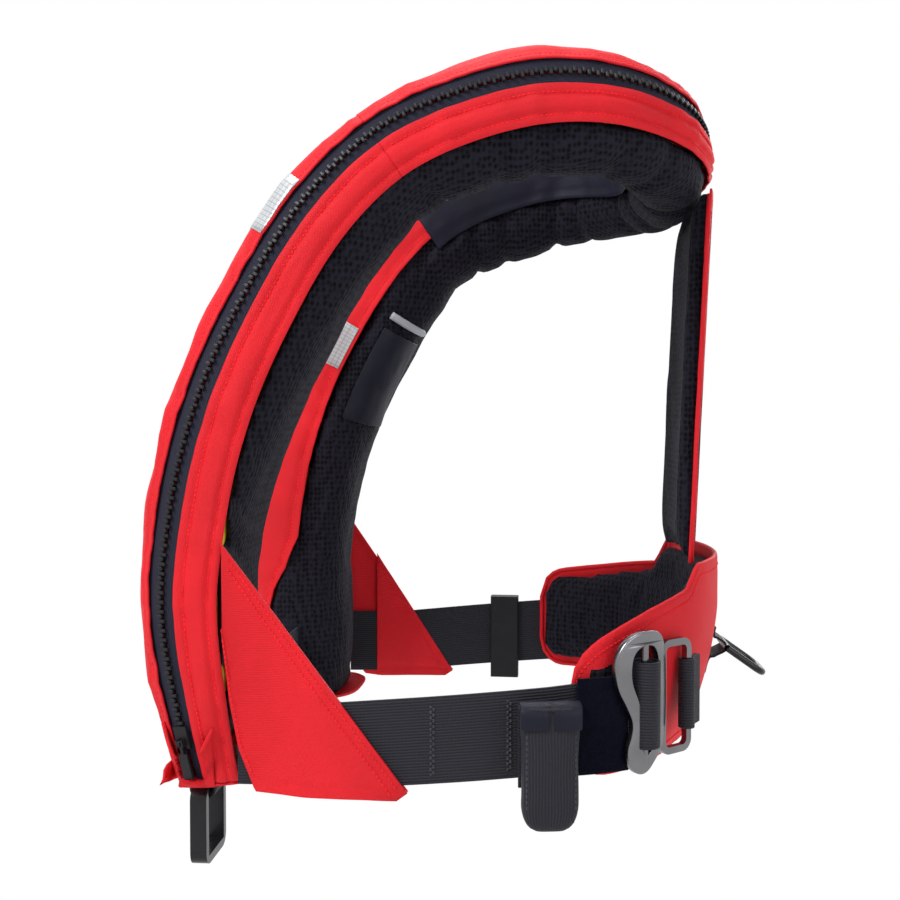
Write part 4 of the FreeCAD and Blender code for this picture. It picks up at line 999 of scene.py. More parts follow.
class JACKET_OT_zip(bpy.types.Operator):
    """Zip tapes and the moulded teeth that run round the horseshoe"""

    bl_idname = "jacket.zip"
    bl_label = "Zip"

    def execute(self, context):
        whole = (0, COUNT - 1)
        tape = finish_of("zip tape")
        half = 0.0028 / (LOBE_SECTION[1] / 2)
        skin("zip_tape_front", whole, rim_angle(ZIP_MIDDLE + half * 0.4), rim_angle(ZIP_FRONT + 0.08), 8,
             tape,
             ["zip_front_tape"], wall=0.0008, inset=0.0022, depth=0.0004, seed=11.0, hem=0.004)
        skin("zip_tape_rear", whole, rim_angle(ZIP_REAR - 0.08), rim_angle(ZIP_MIDDLE - half * 0.4), 8, tape,
             ["zip_rear_tape"], wall=0.0008, inset=0.0022, depth=0.0004, seed=12.0, hem=0.004)
        self.teeth(context.scene.jacket.tooth_pitch)
        return {"FINISHED"}

    def tooth(self, pitch):
        """One moulded tooth, modelled at the origin: X along the chain, Y across, Z outward."""
        bpy.ops.object.select_all(action="DESELECT")
        bpy.ops.mesh.primitive_cube_add(size=1.0)
        ob = bpy.context.object
        ob.name = "one_tooth"
        bpy.ops.object.mode_set(mode="EDIT")
        bpy.ops.transform.resize(value=(pitch * 0.78, 0.0036, 0.0024))
        bpy.ops.mesh.bevel(offset=pitch * 0.2, segments=1, affect="EDGES")
        bpy.ops.object.mode_set(mode="OBJECT")
        return ob

    def teeth(self, pitch):
        """Copy the tooth along the chain, left and right in turn."""
        model = self.tooth(pitch)
        shape = np.array([v.co for v in model.data.vertices])
        polygons = [tuple(p.vertices) for p in model.data.polygons]
        bpy.data.objects.remove(model)
        angle = rim_angle(ZIP_MIDDLE)
        line = np.array([s.rim(angle, 0.0012) for s in SECTIONS])
        out = np.array([unit(s.rim(angle, -0.002) - s.rim(angle, 0.002)) for s in SECTIONS])
        length = np.concatenate([[0], np.cumsum(np.linalg.norm(np.diff(line, axis=0), axis=1))])
        vertices, faces = [], []
        first, last = 0.030, length[-1] - 0.018
        for k in range(int((last - first) / pitch)):
            at = first + k * pitch
            i = min(int(np.searchsorted(length, at)), COUNT - 1)
            t = (at - length[i - 1]) / max(length[i] - length[i - 1], 1e-9)
            point = line[i - 1] + (line[i] - line[i - 1]) * t
            along = unit(line[i] - line[i - 1])
            up = unit(out[i] - along * out[i].dot(along))
            side = np.cross(up, along)
            shift = 0.0009 if k % 2 else -0.0009
            base = len(vertices)
            for x, y, z in shape:
                vertices.append(point + along * x + side * (y + shift) + up * z)
            faces.extend([tuple(base + n for n in p) for p in polygons])
        ob = link("zip_teeth", vertices, faces, smooth=False)
        place_piece(ob, finish_of("teeth"), "jacket", ["zip_chain"])


class JACKET_OT_bottoms(bpy.types.Operator):
    """Cloth panels that close the lobes below"""

    bl_idname = "jacket.bottoms"
    bl_label = "Lobe bottoms"

    def execute(self, context):
        for side, index in (("left", 0), ("right", COUNT - 1)):
            s = SECTIONS[index]
            rows = []
            for share in np.linspace(0.04, 0.995, 9):
                ring = []
                for a in np.linspace(0, 2 * math.pi, 49):
                    p = s.middle + (s.rim(a) - s.middle) * share
                    crease = 0.0012 * noise.noise(Vector(p * 45))
                    ring.append(p + np.array((0, 0, -0.0016 - 0.004 * (1 - share ** 3) + crease)))
                rows.append(ring)
            grid = np.array(rows)
            ob = self.disc(side + "_bottom", grid)
            thicken(ob, 0.0014)
            if side == "left":
                self.slot(ob)
            # the bottoms take the red nylon painted darker, painted shade on their undersides
            place_piece(ob, finish_of("shaded red"), "jacket", [side + "_bottom_panel"])
        return {"FINISHED"}

    def disc(self, name, grid):
        """A closed round sheet from rings of points."""
        rows, columns = grid.shape[:2]
        ring = columns - 1
        vertices = [grid[i, j] for i in range(rows) for j in range(ring)]
        vertices.append(grid[0, :ring].mean(axis=0))
        faces = []
        for i in range(rows - 1):
            for j in range(ring):
                k = (j + 1) % ring
                faces.append((i * ring + j, i * ring + k, (i + 1) * ring + k, (i + 1) * ring + j))
        for j in range(ring):
            faces.append((j, len(vertices) - 1, (j + 1) % ring))
        ob = link(name, vertices, faces)
        down = sum(p.normal.z * p.area for p in ob.data.polygons)
        if down > 0:
            ob.data.flip_normals()
        return ob

    def slot(self, ob):
        """Cut the handle's slot."""
        low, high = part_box("firing_handle")
        bpy.ops.object.select_all(action="DESELECT")
        middle = ((low.x + high.x) / 2, (low.y + high.y) / 2, -LOBE_DROP)
        bpy.ops.mesh.primitive_cube_add(size=1.0, location=middle)
        cutter = bpy.context.object
        cutter.scale = (high.x - low.x + 0.003, high.y - low.y + 0.003, 0.05)
        cut = ob.modifiers.new("slot", "BOOLEAN")
        cut.object = cutter
        cut.solver = "EXACT"
        apply_all(ob)
        bpy.data.objects.remove(cutter)


# ------------------------------------------------------------------ the waist's route
def oval(degrees, offset):
    """A point outside the lumbar pad's oval, in plan, by angle from the wearer's left side."""
    a = math.radians(degrees)
    return np.array(((WING_REACH + offset) * math.cos(a), (PAD_REACH + offset) * math.sin(a)))


def belt_plan(end):
    """The left belt's middle line in plan, from the lobe round to its rear end, evenly sampled."""
    lap = BELT_THICK / 2 + GAP
    marks = [(-0.0009, -0.71), (-0.0005, -0.62), (0.0024, -0.49), (0.0046, -0.33), (0.0058, -0.15)]
    points = [(HALF_WIDTH + x, y * FRONT_REACH) for x, y in marks]
    points += [tuple(oval(3 + (end - 3) * k / 3, lap)) for k in range(4)]
    curve = Spline(points)
    line = [curve.value(t) for t in np.linspace(0, len(points) - 1, 240)]
    return np.array(line)


BELT_LINE = belt_plan(23.0)


def belt_lift(y):
    """The belt climbs towards the back."""
    return -0.005 + 0.013 * max(0.0, min(1.0, (y + 0.100) / 0.140))


def belt_x(y):
    """How far out the left belt's middle line lies at a given y."""
    return float(np.interp(y, BELT_LINE[:, 1], BELT_LINE[:, 0]))


def mirrored(grid, side):
    """The grid itself on the left, or its mirror image on the right."""
    return grid if side == "left" else grid * np.array((-1, 1, 1))


def blur(values, passes):
    """Soften a grid of numbers."""
    for _ in range(passes):
        padded = np.pad(values, 1, mode="edge")
        values = (padded[:-2, 1:-1] + padded[2:, 1:-1] + padded[1:-1, :-2] + padded[1:-1, 2:]
                  + 2 * padded[1:-1, 1:-1]) / 6
    return values


def crumple(grid, depth, scale, seed):
    """Gentle creases over a whole grid."""
    normals = grid_normals(grid)
    out = grid.copy()
    for i in range(grid.shape[0]):
        for j in range(grid.shape[1]):
            p = Vector(grid[i, j] * scale) + Vector((seed, 0, 0))
            out[i, j] += normals[i, j] * depth * (noise.noise(p) + 0.5 * noise.noise(p * 2.3))
    return out


class JACKET_OT_side_panels(bpy.types.Operator):
    """Two cloth layers at each side that hold the belt and end in a slanting hem"""

    bl_idname = "jacket.side_panels"
    bl_label = "Side panels"

    def execute(self, context):
        for side in ("left", "right"):
            shift = RIGHT_SETTLE if side == "right" else 0.0
            front = [(-0.1646 + shift, 0.053), (-0.1605 + shift, 0.018), (-0.1555 + shift, -0.008),
                     (-0.1460 + shift, -0.032), (-0.118, -0.034), (-0.066, -0.0335)]
            top = [(-0.1646 + shift, 0.106), (-0.060, -0.029)]
            self.panel(side, "outer", front, top, BELT_THICK / 2 + GAP + WALL, 1.0)
            front = [(-0.135 + shift, -0.033), (-0.066, -0.033)]
            top = [(-0.135 + shift, 0.066), (-0.060, -0.029)]
            self.panel(side, "inner", front, top, -BELT_THICK / 2 - GAP, -1.0)
        return {"FINISHED"}

    def panel(self, side, layer, front, top, offset, facing):
        rows, columns = 60, 34
        low_edge = resample([(0, y, z) for y, z in front], rows)
        high_edge = resample([(0, y, z) for y, z in top], rows)
        tree = surface_tree(side + "_lobe_cover", side + "_side_strip", side + "_mesh_pad")
        sign = 1.0 if side == "left" else -1.0
        grid = np.zeros((rows, columns, 3))
        for i in range(rows):
            for j in range(columns):
                t = j / (columns - 1)
                _, y, z = low_edge[i] * (1 - t) + high_edge[i] * t
                grid[i, j] = (belt_x(y) + offset, y, z)
                if layer == "outer":
                    hit, _, _, _ = tree.ray_cast(Vector((0.3 * sign, y, z)), Vector((-sign, 0, 0)))
                    if hit is not None:
                        grid[i, j, 0] = max(grid[i, j, 0], sign * hit.x + 0.0016)
        grid[:, :, 0] = np.maximum(blur(grid[:, :, 0], 6), grid[:, :, 0] - 0.0006)
        grid = wrinkled(mirrored(grid, side), 0.0009, 21.0 + sign, 0.0, 0.007)
        outward = (sign * facing, 0, 0)
        ob = grid_object(side + "_panel_" + layer, grid, outward)
        thicken(ob, 0.0014, 0.0005)
        place_piece(ob, finish_of("red nylon"), "jacket", [side + "_panel_" + layer])
        soft_sheet(grid)
        if layer == "outer":
            for k, back in enumerate((0.0035, 0.0085)):
                hem = [grid[i, -1] + unit(grid[i, -2] - grid[i, -1]) * back for i in range(2, rows - 2)]
                stitch_line("%s_panel_hem_%d" % (side, k), hem, outward, "thread", [ob])
            seam = [grid[i, 0] + unit(grid[i, 1] - grid[i, 0]) * 0.003 for i in range(1, rows // 2)]
            stitch_line(side + "_panel_seam", seam, outward, "thread", [ob])


def wavy_line(points, step):
    """Evenly spaced points along a line."""
    points = np.array(points)
    length = np.linalg.norm(np.diff(points, axis=0), axis=1).sum()
    return resample(points, max(3, int(length / step)))


def stitch_mesh(points, outs, length, share, radius):
    """Small spindle stitches laid end to end along a line."""
    vertices, faces = [], []
    rows = wavy_line(points, length)
    outs = np.array(outs)
    for k in range(len(rows) - 1):
        a, b = rows[k], rows[k + 1]
        along = b - a
        size = np.linalg.norm(along)
        if size < 1e-6:
            continue
        along /= size
        up = outs[min(len(outs) - 1, int(k * len(outs) / len(rows)))]
        up = unit(up - along * np.dot(up, along))
        side = np.cross(along, up)
        middle = (a + b) / 2
        half = size * share / 2
        base = len(vertices)
        vertices.append(middle - along * half)
        for t, r in ((-0.55, radius), (0.55, radius)):
            for c, s in ((1, 0), (0, 1), (-1, 0), (0, -1)):
                vertices.append(middle + along * half * t + side * c * r * 1.3 + up * s * r)
        vertices.append(middle + along * half)
        for q in range(4):
            n = (q + 1) % 4
            faces.append((base, base + 1 + q, base + 1 + n))
            faces.append((base + 1 + q, base + 5 + q, base + 5 + n, base + 1 + n))
            faces.append((base + 9, base + 5 + n, base + 5 + q))
    return vertices, faces


def lay_on(points, outward, pieces, lift):
    """Drop points onto pieces along a direction, or along one direction for each point."""
    trees = []
    for ob in pieces:
        trees.append(BVHTree.FromPolygons([v.co for v in ob.data.vertices],
                                          [tuple(p.vertices) for p in ob.data.polygons]))
    outs = np.array(outward, float)
    if outs.ndim == 1:
        outs = np.repeat(outs[None], len(points), axis=0)
    laid, normals = [], []
    for p, n in zip(points, outs):
        best, best_normal = np.array(p), n
        nearest = 0.02
        for tree in trees:
            hit, normal, _, distance = tree.ray_cast(Vector(p) + Vector(n) * 0.01, Vector(n) * -1)
            if hit is not None and distance < nearest:
                nearest = distance
                best = np.array(hit)
                best_normal = np.array(normal) if Vector(normal).dot(Vector(n)) > 0 else -np.array(normal)
        laid.append(best + best_normal * lift)
        normals.append(best_normal)
    return laid, normals


def stitch_line(name, points, outward, thread, pieces, radius=0.00042, body="jacket"):
    """A row of stitches laid on a piece."""
    points = wavy_line(points, 0.004)
    outs = np.array(outward, float)
    if outs.ndim == 2:
        outs = np.array([outs[int(k * len(outs) / len(points))] for k in range(len(points))])
    laid, normals = lay_on(points, outs, pieces, radius * 0.25)
    vertices, faces = stitch_mesh(laid, normals, bpy.context.scene.jacket.stitch, 0.8, radius)
    ob = link(name, vertices, faces)
    return place_piece(ob, finish_of(thread), body)


def tack_box(name, corner, right, up, across, tall, outward, thread, pieces, turns=9):
    """A zigzag bar tack between two corners."""
    points = []
    for k in range(turns * 2 + 1):
        t = k / (turns * 2)
        points.append(np.array(corner) + np.array(right) * across * (k % 2) + np.array(up) * tall * t)
    laid, normals = lay_on(points, outward, pieces, 0.0003)
    vertices, faces = [], []
    for a, b, n in zip(laid, laid[1:], normals):
        v, f = stitch_mesh([a, b], [n], np.linalg.norm(b - a) * 0.6, 0.98, 0.0004)
        base = len(vertices)
        vertices += v
        faces += [tuple(base + i for i in face) for face in f]
    ob = link(name, vertices, faces)
    return place_piece(ob, finish_of(thread), "jacket")


def strap(name, path, across, width, wall, material, nodes, outward, columns=9, wave=0.0, seed=0.0,
          body="jacket"):
    """Flat webbing: a line of points swept sideways, with its thickness and rounded edges."""
    path = np.array(path)
    across = np.array(across, float)
    grid = np.array([[p + across * width * t for t in np.linspace(-0.5, 0.5, columns)] for p in path])
    if wave:
        grid = crumple(grid, wave, 22.0, seed)
    ob = grid_object(name, grid, outward)
    solid = ob.modifiers.new("thickness", "SOLIDIFY")
    solid.thickness = wall
    solid.offset = 0
    soft = ob.modifiers.new("soft edge", "BEVEL")
    soft.width = wall * 0.3
    soft.segments = 2
    soft.limit_method = "ANGLE"
    soft.angle_limit = math.radians(55)
    apply_all(ob)
    place_piece(ob, material, body, nodes)
    soft_sheet(grid)
    return ob


def buckle_place():
    """The buckle's own directions: its origin, rearward, towards the body, and up."""
    a = math.radians(37.0)
    rearward = unit(np.array((-WING_REACH * math.sin(a), PAD_REACH * math.cos(a), 0.0)))
    outward = np.array((rearward[1], -rearward[0], 0.0))
    point = np.array((*oval(37.0, 0.0), 0.0))
    origin = point + outward * 0.0058 - rearward * 0.018 + np.array((0, 0, 0.018))
    return origin, rearward, -outward, np.array((0.0, 0.0, 1.0))


def loop_path(centre, radius, tail, slope, layers=0.0009):
    """A webbing loop in plan: out along one layer, round a bar, back along the other."""
    a = math.radians(slope)
    d = np.array((math.cos(a), math.sin(a)))
    n = np.array((-d[1], d[0]))
    lead = radius * 0.9
    points = [d * tail + n * layers, d * (tail * 0.6) + n * layers, d * (lead + 0.002) + n * layers * 1.4]
    for k in range(13):
        b = a + math.radians(40 + (320 - 40) * k / 12)
        points.append(np.array((math.cos(b), math.sin(b))) * radius)
    points += [d * (lead + 0.002) - n * layers * 1.4, d * (tail * 0.6) - n * layers, d * tail - n * layers]
    curve = Spline([centre + p for p in points])
    return [curve.value(t) for t in np.linspace(0, len(points) - 1, 60)]


class JACKET_OT_belts(bpy.types.Operator):
    """Waist webbing, fastening pile and the webbing loops at the buckle"""

    bl_idname = "jacket.belts"
    bl_label = "Belts"

    def execute(self, context):
        cloth = finish_of("webbing")
        for side in ("left", "right"):
            start = -0.70 * FRONT_REACH + (RIGHT_SETTLE if side == "right" else 0.0)
            line = [p for p in BELT_LINE if p[1] > start]
            path = mirrored(np.array([(x, y, belt_lift(y)) for x, y in line]), side)
            sign = 1.0 if side == "left" else -1.0
            belt = strap(side + "_waist_belt", path, (0, 0, 1), BELT_WIDTH, BELT_THICK * 0.8, cloth,
                         [side + "_belt"], (sign, 0, 0), 17, 0.0004, sign)
            if side == "left":
                self.tacks(belt)
        wide = 0.052
        path = [(x, -0.74 * FRONT_REACH + 0.0012, 0.0) for x in np.linspace(-wide, wide, 24)]
        strap("front_bridge_belt", path, (0, 0, 1), BELT_WIDTH, BELT_THICK * 0.8, cloth,
              ["front_belt"], (0, -1, 0), 13, 0.0003, 3.0)
        self.pile()
        self.loops(cloth)
        return {"FINISHED"}

    def tacks(self, belt):
        """Bar tacks where the belt leaves the panel, and beside the pouch."""
        for k, y in enumerate((-0.048, -0.006)):
            x = belt_x(y) + 0.004
            low = belt_lift(y) - 0.019
            tack_box("belt_tack_%d" % k, (x, y, low), (0, 1, 0), (0, 0, 1), 0.003, 0.038, (1, 0, 0),
                     "dark thread", [belt], 12)

    def pile(self):
        """The fuzzy fastening patch on the belt's end."""
        offset = BELT_THICK + 2 * GAP + 0.0014
        path = [np.array((*oval(a, offset), 0.008)) for a in np.linspace(14.2, 27.5, 20)]
        normal = unit(np.array((math.cos(0.33), math.sin(0.33), 0.0)))
        strap("pile_patch", path, (0, 0, 1), 0.053, 0.0020, finish_of("pile"), ["belt_end_fleece"],
              normal, 21, 0.0003, 5.0)

    def loops(self, cloth):
        origin, back, inward, up = buckle_place()
        jobs = (("belt_loop", (0.004, -0.001), 0.0072, 0.0150, 152.0, BELT_WIDTH, "belt_end_loop"),
                ("wing_tab_loop", (0.0412, 0.0025), 0.0040, 0.017, 20.0, 0.040, "wing_loop"))
        for name, centre, radius, tail, slope, width, node in jobs:
            flat = loop_path(np.array(centre), radius, tail, slope)
            path = [origin + back * x + inward * y for x, y in flat]
            strap(name, path, up, width, 0.0015, cloth, [node], -inward, 13, 0.0, 0.0)


def lean_in(y, z):
    """How far forward the lumbar pad's lower part is drawn."""
    return 0.018 * max(0.0, (0.058 - z) / 0.078) ** 1.5 * max(0.0, min(1.0, (y - 0.050) / 0.060))


class JACKET_OT_back_pad(bpy.types.Operator):
    """Lumbar pad with its wings: red cloth outside, mesh inside, piping round the edge"""

    bl_idname = "jacket.back_pad"
    bl_label = "Lumbar pad"

    LEFT_TIP = 0.0302
    RIGHT_TIP = 0.0121

    def edges(self, degrees):
        """Lowest and highest points of the pad by angle round its oval."""
        y = oval(degrees, 0.0)[1]
        if degrees < 90:
            low = np.interp(y, (0.0302, 0.0315, 0.035, 0.040, 0.046),
                            (0.004, -0.0085, -0.0145, -0.0185, -0.020))
            high = np.interp(y, (0.0302, 0.0315, 0.036, 0.042, 0.047, 0.060, 0.075, 0.099, 0.1067),
                             (0.028, 0.0365, 0.0445, 0.0500, 0.0535, 0.0600, 0.0665, 0.0745, 0.088))
            return float(low), float(high)
        low = np.interp(y, (0.0120, 0.0135, 0.017, 0.022, 0.028), (-0.002, -0.0085, -0.0145, -0.0185, -0.020))
        high = np.interp(y, (0.0120, 0.0135, 0.018, 0.024, 0.030, 0.060, 0.099, 0.1067),
                         (0.032, 0.042, 0.0495, 0.0535, 0.055, 0.060, 0.068, 0.088))
        return float(low), float(high)

    def execute(self, context):
        first = math.degrees(math.asin(self.LEFT_TIP / PAD_REACH))
        last = 180 - math.degrees(math.asin(self.RIGHT_TIP / PAD_REACH))
        turns = np.linspace(first, last, 150)
        rows = []
        for a in turns:
            x, y = oval(a, -0.0004)
            low, high = self.edges(a)
            rows.append([(x, y - lean_in(y, z), z) for z in np.linspace(low, high, 30)])
        grid = wrinkled(np.array(rows), 0.0008, 31.0, 0.0005, 0.006)
        middle = grid[75, 15]
        cover = grid_object("lumbar_cover", grid, (middle[0], middle[1], 0))
        thicken(cover, 0.0016, 0.0005)
        place_piece(cover, finish_of("red nylon"), "jacket", ["back_pad_cover"])
        soft_sheet(grid)
        outs = [unit(np.array((math.cos(math.radians(a)), math.sin(math.radians(a)), 0.0))) for a in turns]
        for k, (row, step) in enumerate(((0, 1), (-1, -1))):
            hem = [grid[i, row] + unit(grid[i, row + step] - grid[i, row]) * 0.0055 for i in range(150)]
            stitch_line("lumbar_hem_%d" % k, hem, outs, "thread", [cover])
        rim = [grid[i, 0] for i in range(0, 150, 2)] + [grid[-1, j] for j in range(2, 28, 3)]
        rim += [grid[i, -1] for i in range(149, -1, -2)] + [grid[0, j] for j in range(27, 2, -3)]
        rim = [p - unit(np.array((p[0], p[1], 0))) * 0.0016 for p in rim]
        piping = tube("lumbar_piping", rim, 0.0016, closed=True)
        place_piece(piping, finish_of("shaded red"), "jacket")
        self.mesh_side(turns)
        return {"FINISHED"}

    def mesh_side(self, turns):
        """The stuffed mesh face against the wearer's back."""
        rings = []
        for a in turns[::2]:
            low, high = self.edges(a)
            low, high = low + 0.0025, high - 0.0025
            ring = []
            for t, out in ((0.0, 0), (0.2, 0), (0.4, 0), (0.6, 0), (0.8, 0), (1.0, 0), (0.93, 1), (0.75, 1),
                           (0.5, 1), (0.25, 1), (0.07, 1)):
                depth = -0.0028 if out == 0 else -0.0105
                x, y = oval(a, depth)
                z = low + (high - low) * t
                ring.append((x, y - lean_in(oval(a, 0.0)[1], z), z))
            rings.append(np.array(ring))
        ob = closed_rings("lumbar_mesh", rings)
        settle_cloth(ob, 0.0045, 3.0, 14, 0.0035)
        place_piece(ob, finish_of("spacer mesh"), "jacket", ["back_pad_mesh"])


class JACKET_OT_back_strap(bpy.types.Operator):
    """The strap from the collar down to the lumbar pad"""

    bl_idname = "jacket.back_strap"
    bl_label = "Back strap"

    def back(self, z, across=0.0):
        """The strap's outer face, curling forward at its edges, more on the right."""
        curl = 0.004 if across > 0 else 0.007
        return 0.85 * PAD_REACH + 0.003 + 0.011 * (z - 0.088) / 0.246 - curl * abs(across) ** 2.2

    def execute(self, context):
        half, low, high = 0.046, 0.085, 0.318
        rows = []
        for z in np.linspace(low, high, 70):
            rows.append([(x, self.back(z, x / half), z) for x in np.linspace(-half, half, 30)])
        grid = wrinkled(np.array(rows), 0.0009, 41.0, 0.0, 0.006)
        cover = grid_object("strap_cover", grid, (0, 1, 0))
        thicken(cover, 0.0016, 0.0005)
        place_piece(cover, finish_of("red nylon"), "jacket", ["back_strap_cover"])
        soft_sheet(grid)
        for k, (column, step) in enumerate(((0, 1), (-1, -1))):
            hem = [grid[i, column] + unit(grid[i, column + step] - grid[i, column]) * 0.006
                   for i in range(70)]
            stitch_line("strap_hem_%d" % k, hem, (0, 1, 0), "thread", [cover])
            edge = [p - np.array((0, 0.0016, 0)) for p in grid[::2, column]]
            piping = tube("strap_piping_%d" % k, edge, 0.0015)
            place_piece(piping, finish_of("shaded red"), "jacket")
        rings = []
        for z in np.linspace(low + 0.003, high, 48):
            ring = [(x, self.back(z, x / half) - 0.0025, z)
                    for x in np.linspace(-half + 0.002, half - 0.002, 13)]
            ring += [(x, self.back(z, x / half) - 0.0100, z)
                     for x in np.linspace(half - 0.003, -half + 0.003, 13)]
            rings.append(np.array(ring))
        ob = closed_rings("strap_mesh", rings)
        settle_cloth(ob, 0.0042, 3.0, 14, 0.003)
        place_piece(ob, finish_of("spacer mesh"), "jacket", ["back_strap_mesh"])
        return {"FINISHED"}


def wing_place(degrees):
    """A point on the left wing with its rearward and outward directions."""
    a = math.radians(degrees)
    back = unit(np.array((-WING_REACH * math.sin(a), PAD_REACH * math.cos(a), 0.0)))
    return np.array((*oval(degrees, 0.0), 0.0)), back, np.array((back[1], -back[0], 0.0))


class JACKET_OT_pouch(bpy.types.Operator):
    """The crotch strap's webbing pouch with its navy flap"""

    bl_idname = "jacket.pouch"
    bl_label = "Strap pouch"

    def execute(self, context):
        point, back, out = wing_place(7.0)
        near, deep, wide, top, high = 0.0060, 0.015, 0.032, 0.022, 0.066
        up = np.array((0.0, 0.0, 1.0))

        def at(x, y, z):
            return point + back * x + out * y + up * z

        rings = []
        levels = np.linspace(0, 1, 40)
        for t in levels:
            z = top - high + high * t
            close = min(1.0, t / 0.24)
            round_off = math.sqrt(max(0.02, 1 - (1 - close) ** 2))
            half = wide / 2 * (0.42 + 0.58 * round_off) * (1.0 - 0.05 * math.sin(math.pi * t))
            thick = deep / 2 * (0.35 + 0.65 * round_off) * (1 + 0.08 * math.sin(math.pi * t))
            ring = []
            for k in range(41):
                a = 2 * math.pi * k / 40
                c, s = math.cos(a), math.sin(a)
                x = math.copysign(abs(c) ** 0.62, c) * half
                y = near + deep / 2 + math.copysign(abs(s) ** 0.62, s) * thick
                x += 0.0005 * noise.noise(Vector((x * 90, z * 60, 2.0)))
                ring.append(at(x, y, z))
            rings.append(ring)
        grid = np.array(rings)
        body = grid_object("pouch_body", grid, at(0, 0, 0) - grid.mean(axis=(0, 1)))
        self.turn_out(body, grid.mean(axis=(0, 1)))
        self.close_bottom(body, grid)
        thicken(body, 0.0012)
        place_piece(body, finish_of("webbing"), "jacket", ["pouch_shell"])
        soft_sheet(grid)
        bind = [grid[-1, k] for k in range(40)]
        rim = tube("pouch_rim", bind, 0.0011, closed=True, sides=6)
        place_piece(rim, finish_of("plain webbing"), "jacket")
        for k, x in enumerate((-wide / 2 + 0.003, wide / 2 - 0.003)):
            run = [at(x, near + deep + 0.001, z) for z in np.linspace(top - high + 0.012, top - 0.013, 16)]
            stitch_line("pouch_stitch_%d" % k, run, out, "dark thread", [body], 0.0003)
        self.flap(at, near, deep, wide, top, out)
        self.strap_inside(at, near, deep, wide, top, high, out)
        path = [at(x, near - 0.0012, -0.001) for x in np.linspace(-wide / 2, wide / 2, 10)]
        strap("pouch_back", path, up, 0.046, 0.0016, finish_of("webbing"), ["pouch_keeper"], out,
              9)
        return {"FINISHED"}

    def turn_out(self, ob, middle):
        """Point the faces away from the pouch's middle."""
        away = sum((Vector(middle) - p.center).dot(p.normal) * p.area for p in ob.data.polygons)
        if away > 0:
            ob.data.flip_normals()

    def close_bottom(self, ob, grid):
        """Merge the seam and fill the pouch's lower end."""
        only(ob)
        bpy.ops.object.mode_set(mode="EDIT")
        bpy.ops.mesh.select_all(action="SELECT")
        bpy.ops.mesh.remove_doubles(threshold=0.00001)
        bpy.ops.mesh.select_all(action="DESELECT")
        bpy.ops.object.mode_set(mode="OBJECT")
        lowest = grid[0, :, 2].mean()
        work = bmesh.new()
        work.from_mesh(ob.data)
        edges = [e for e in work.edges
                 if e.is_boundary and all(abs(v.co.z - lowest) < 0.001 for v in e.verts)]
        bmesh.ops.contextual_create(work, geom=edges)
        work.to_mesh(ob.data)
        work.free()

    def flap(self, at, near, deep, wide, top, out):
        """The smooth cap that folds over the pouch's mouth."""
        marks = [(near - 0.0012, top + 0.0011), (near + deep * 0.5, top + 0.0024),
                 (near + deep * 0.9, top + 0.0016), (near + deep + 0.0012, top - 0.0015),
                 (near + deep + 0.0016, top - 0.006), (near + deep + 0.0012, top - 0.011)]
        curve = Spline([(y, z) for y, z in marks])
        rows = []
        for t in np.linspace(0, len(marks) - 1, 26):
            y, z = curve.value(t)
            rows.append([at(x, y - 0.0016 * abs(2 * x / wide) ** 4 * (t / 5), z) for x in
                         np.linspace(-wide / 2 - 0.0004, wide / 2 + 0.0004, 17)])
        grid = crumple(np.array(rows), 0.0005, 60.0, 4.0)
        grid[7:, 8] -= out * 0.0022
        ob = grid_object("pouch_cap", grid, out + np.array((0, 0, 1)))
        thicken(ob, 0.0013, 0.0004)
        place_piece(ob, finish_of("navy lining"), "flap", ["pouch_flap"])
        soft_sheet(grid)

    def strap_inside(self, at, near, deep, wide, top, high, out):
        """The strap folded to and fro inside the pouch."""
        low, peak = top - high + 0.008, top - 0.0045
        layers = 5
        points = []
        for k in range(layers):
            y = near + 0.003 + (deep - 0.006) * k / (layers - 1)
            ends = (low, peak) if k % 2 == 0 else (peak, low)
            points += [(y, ends[0] + (ends[1] - ends[0]) * s) for s in (0.0, 0.35, 0.65, 1.0)]
        curve = Spline(points)
        path = []
        for t in np.linspace(0, len(points) - 1, 120):
            y, z = curve.value(t)
            path.append(at(0, min(max(y, near + 0.0025), near + deep - 0.0025), z))
        back = unit(at(1, 0, 0) - at(0, 0, 0))
        strap("folded_crotch_strap", path, back, wide - 0.007, 0.0012, finish_of("webbing"),
              ["crotch_strap"], out, 7, 0.0, 0.0)


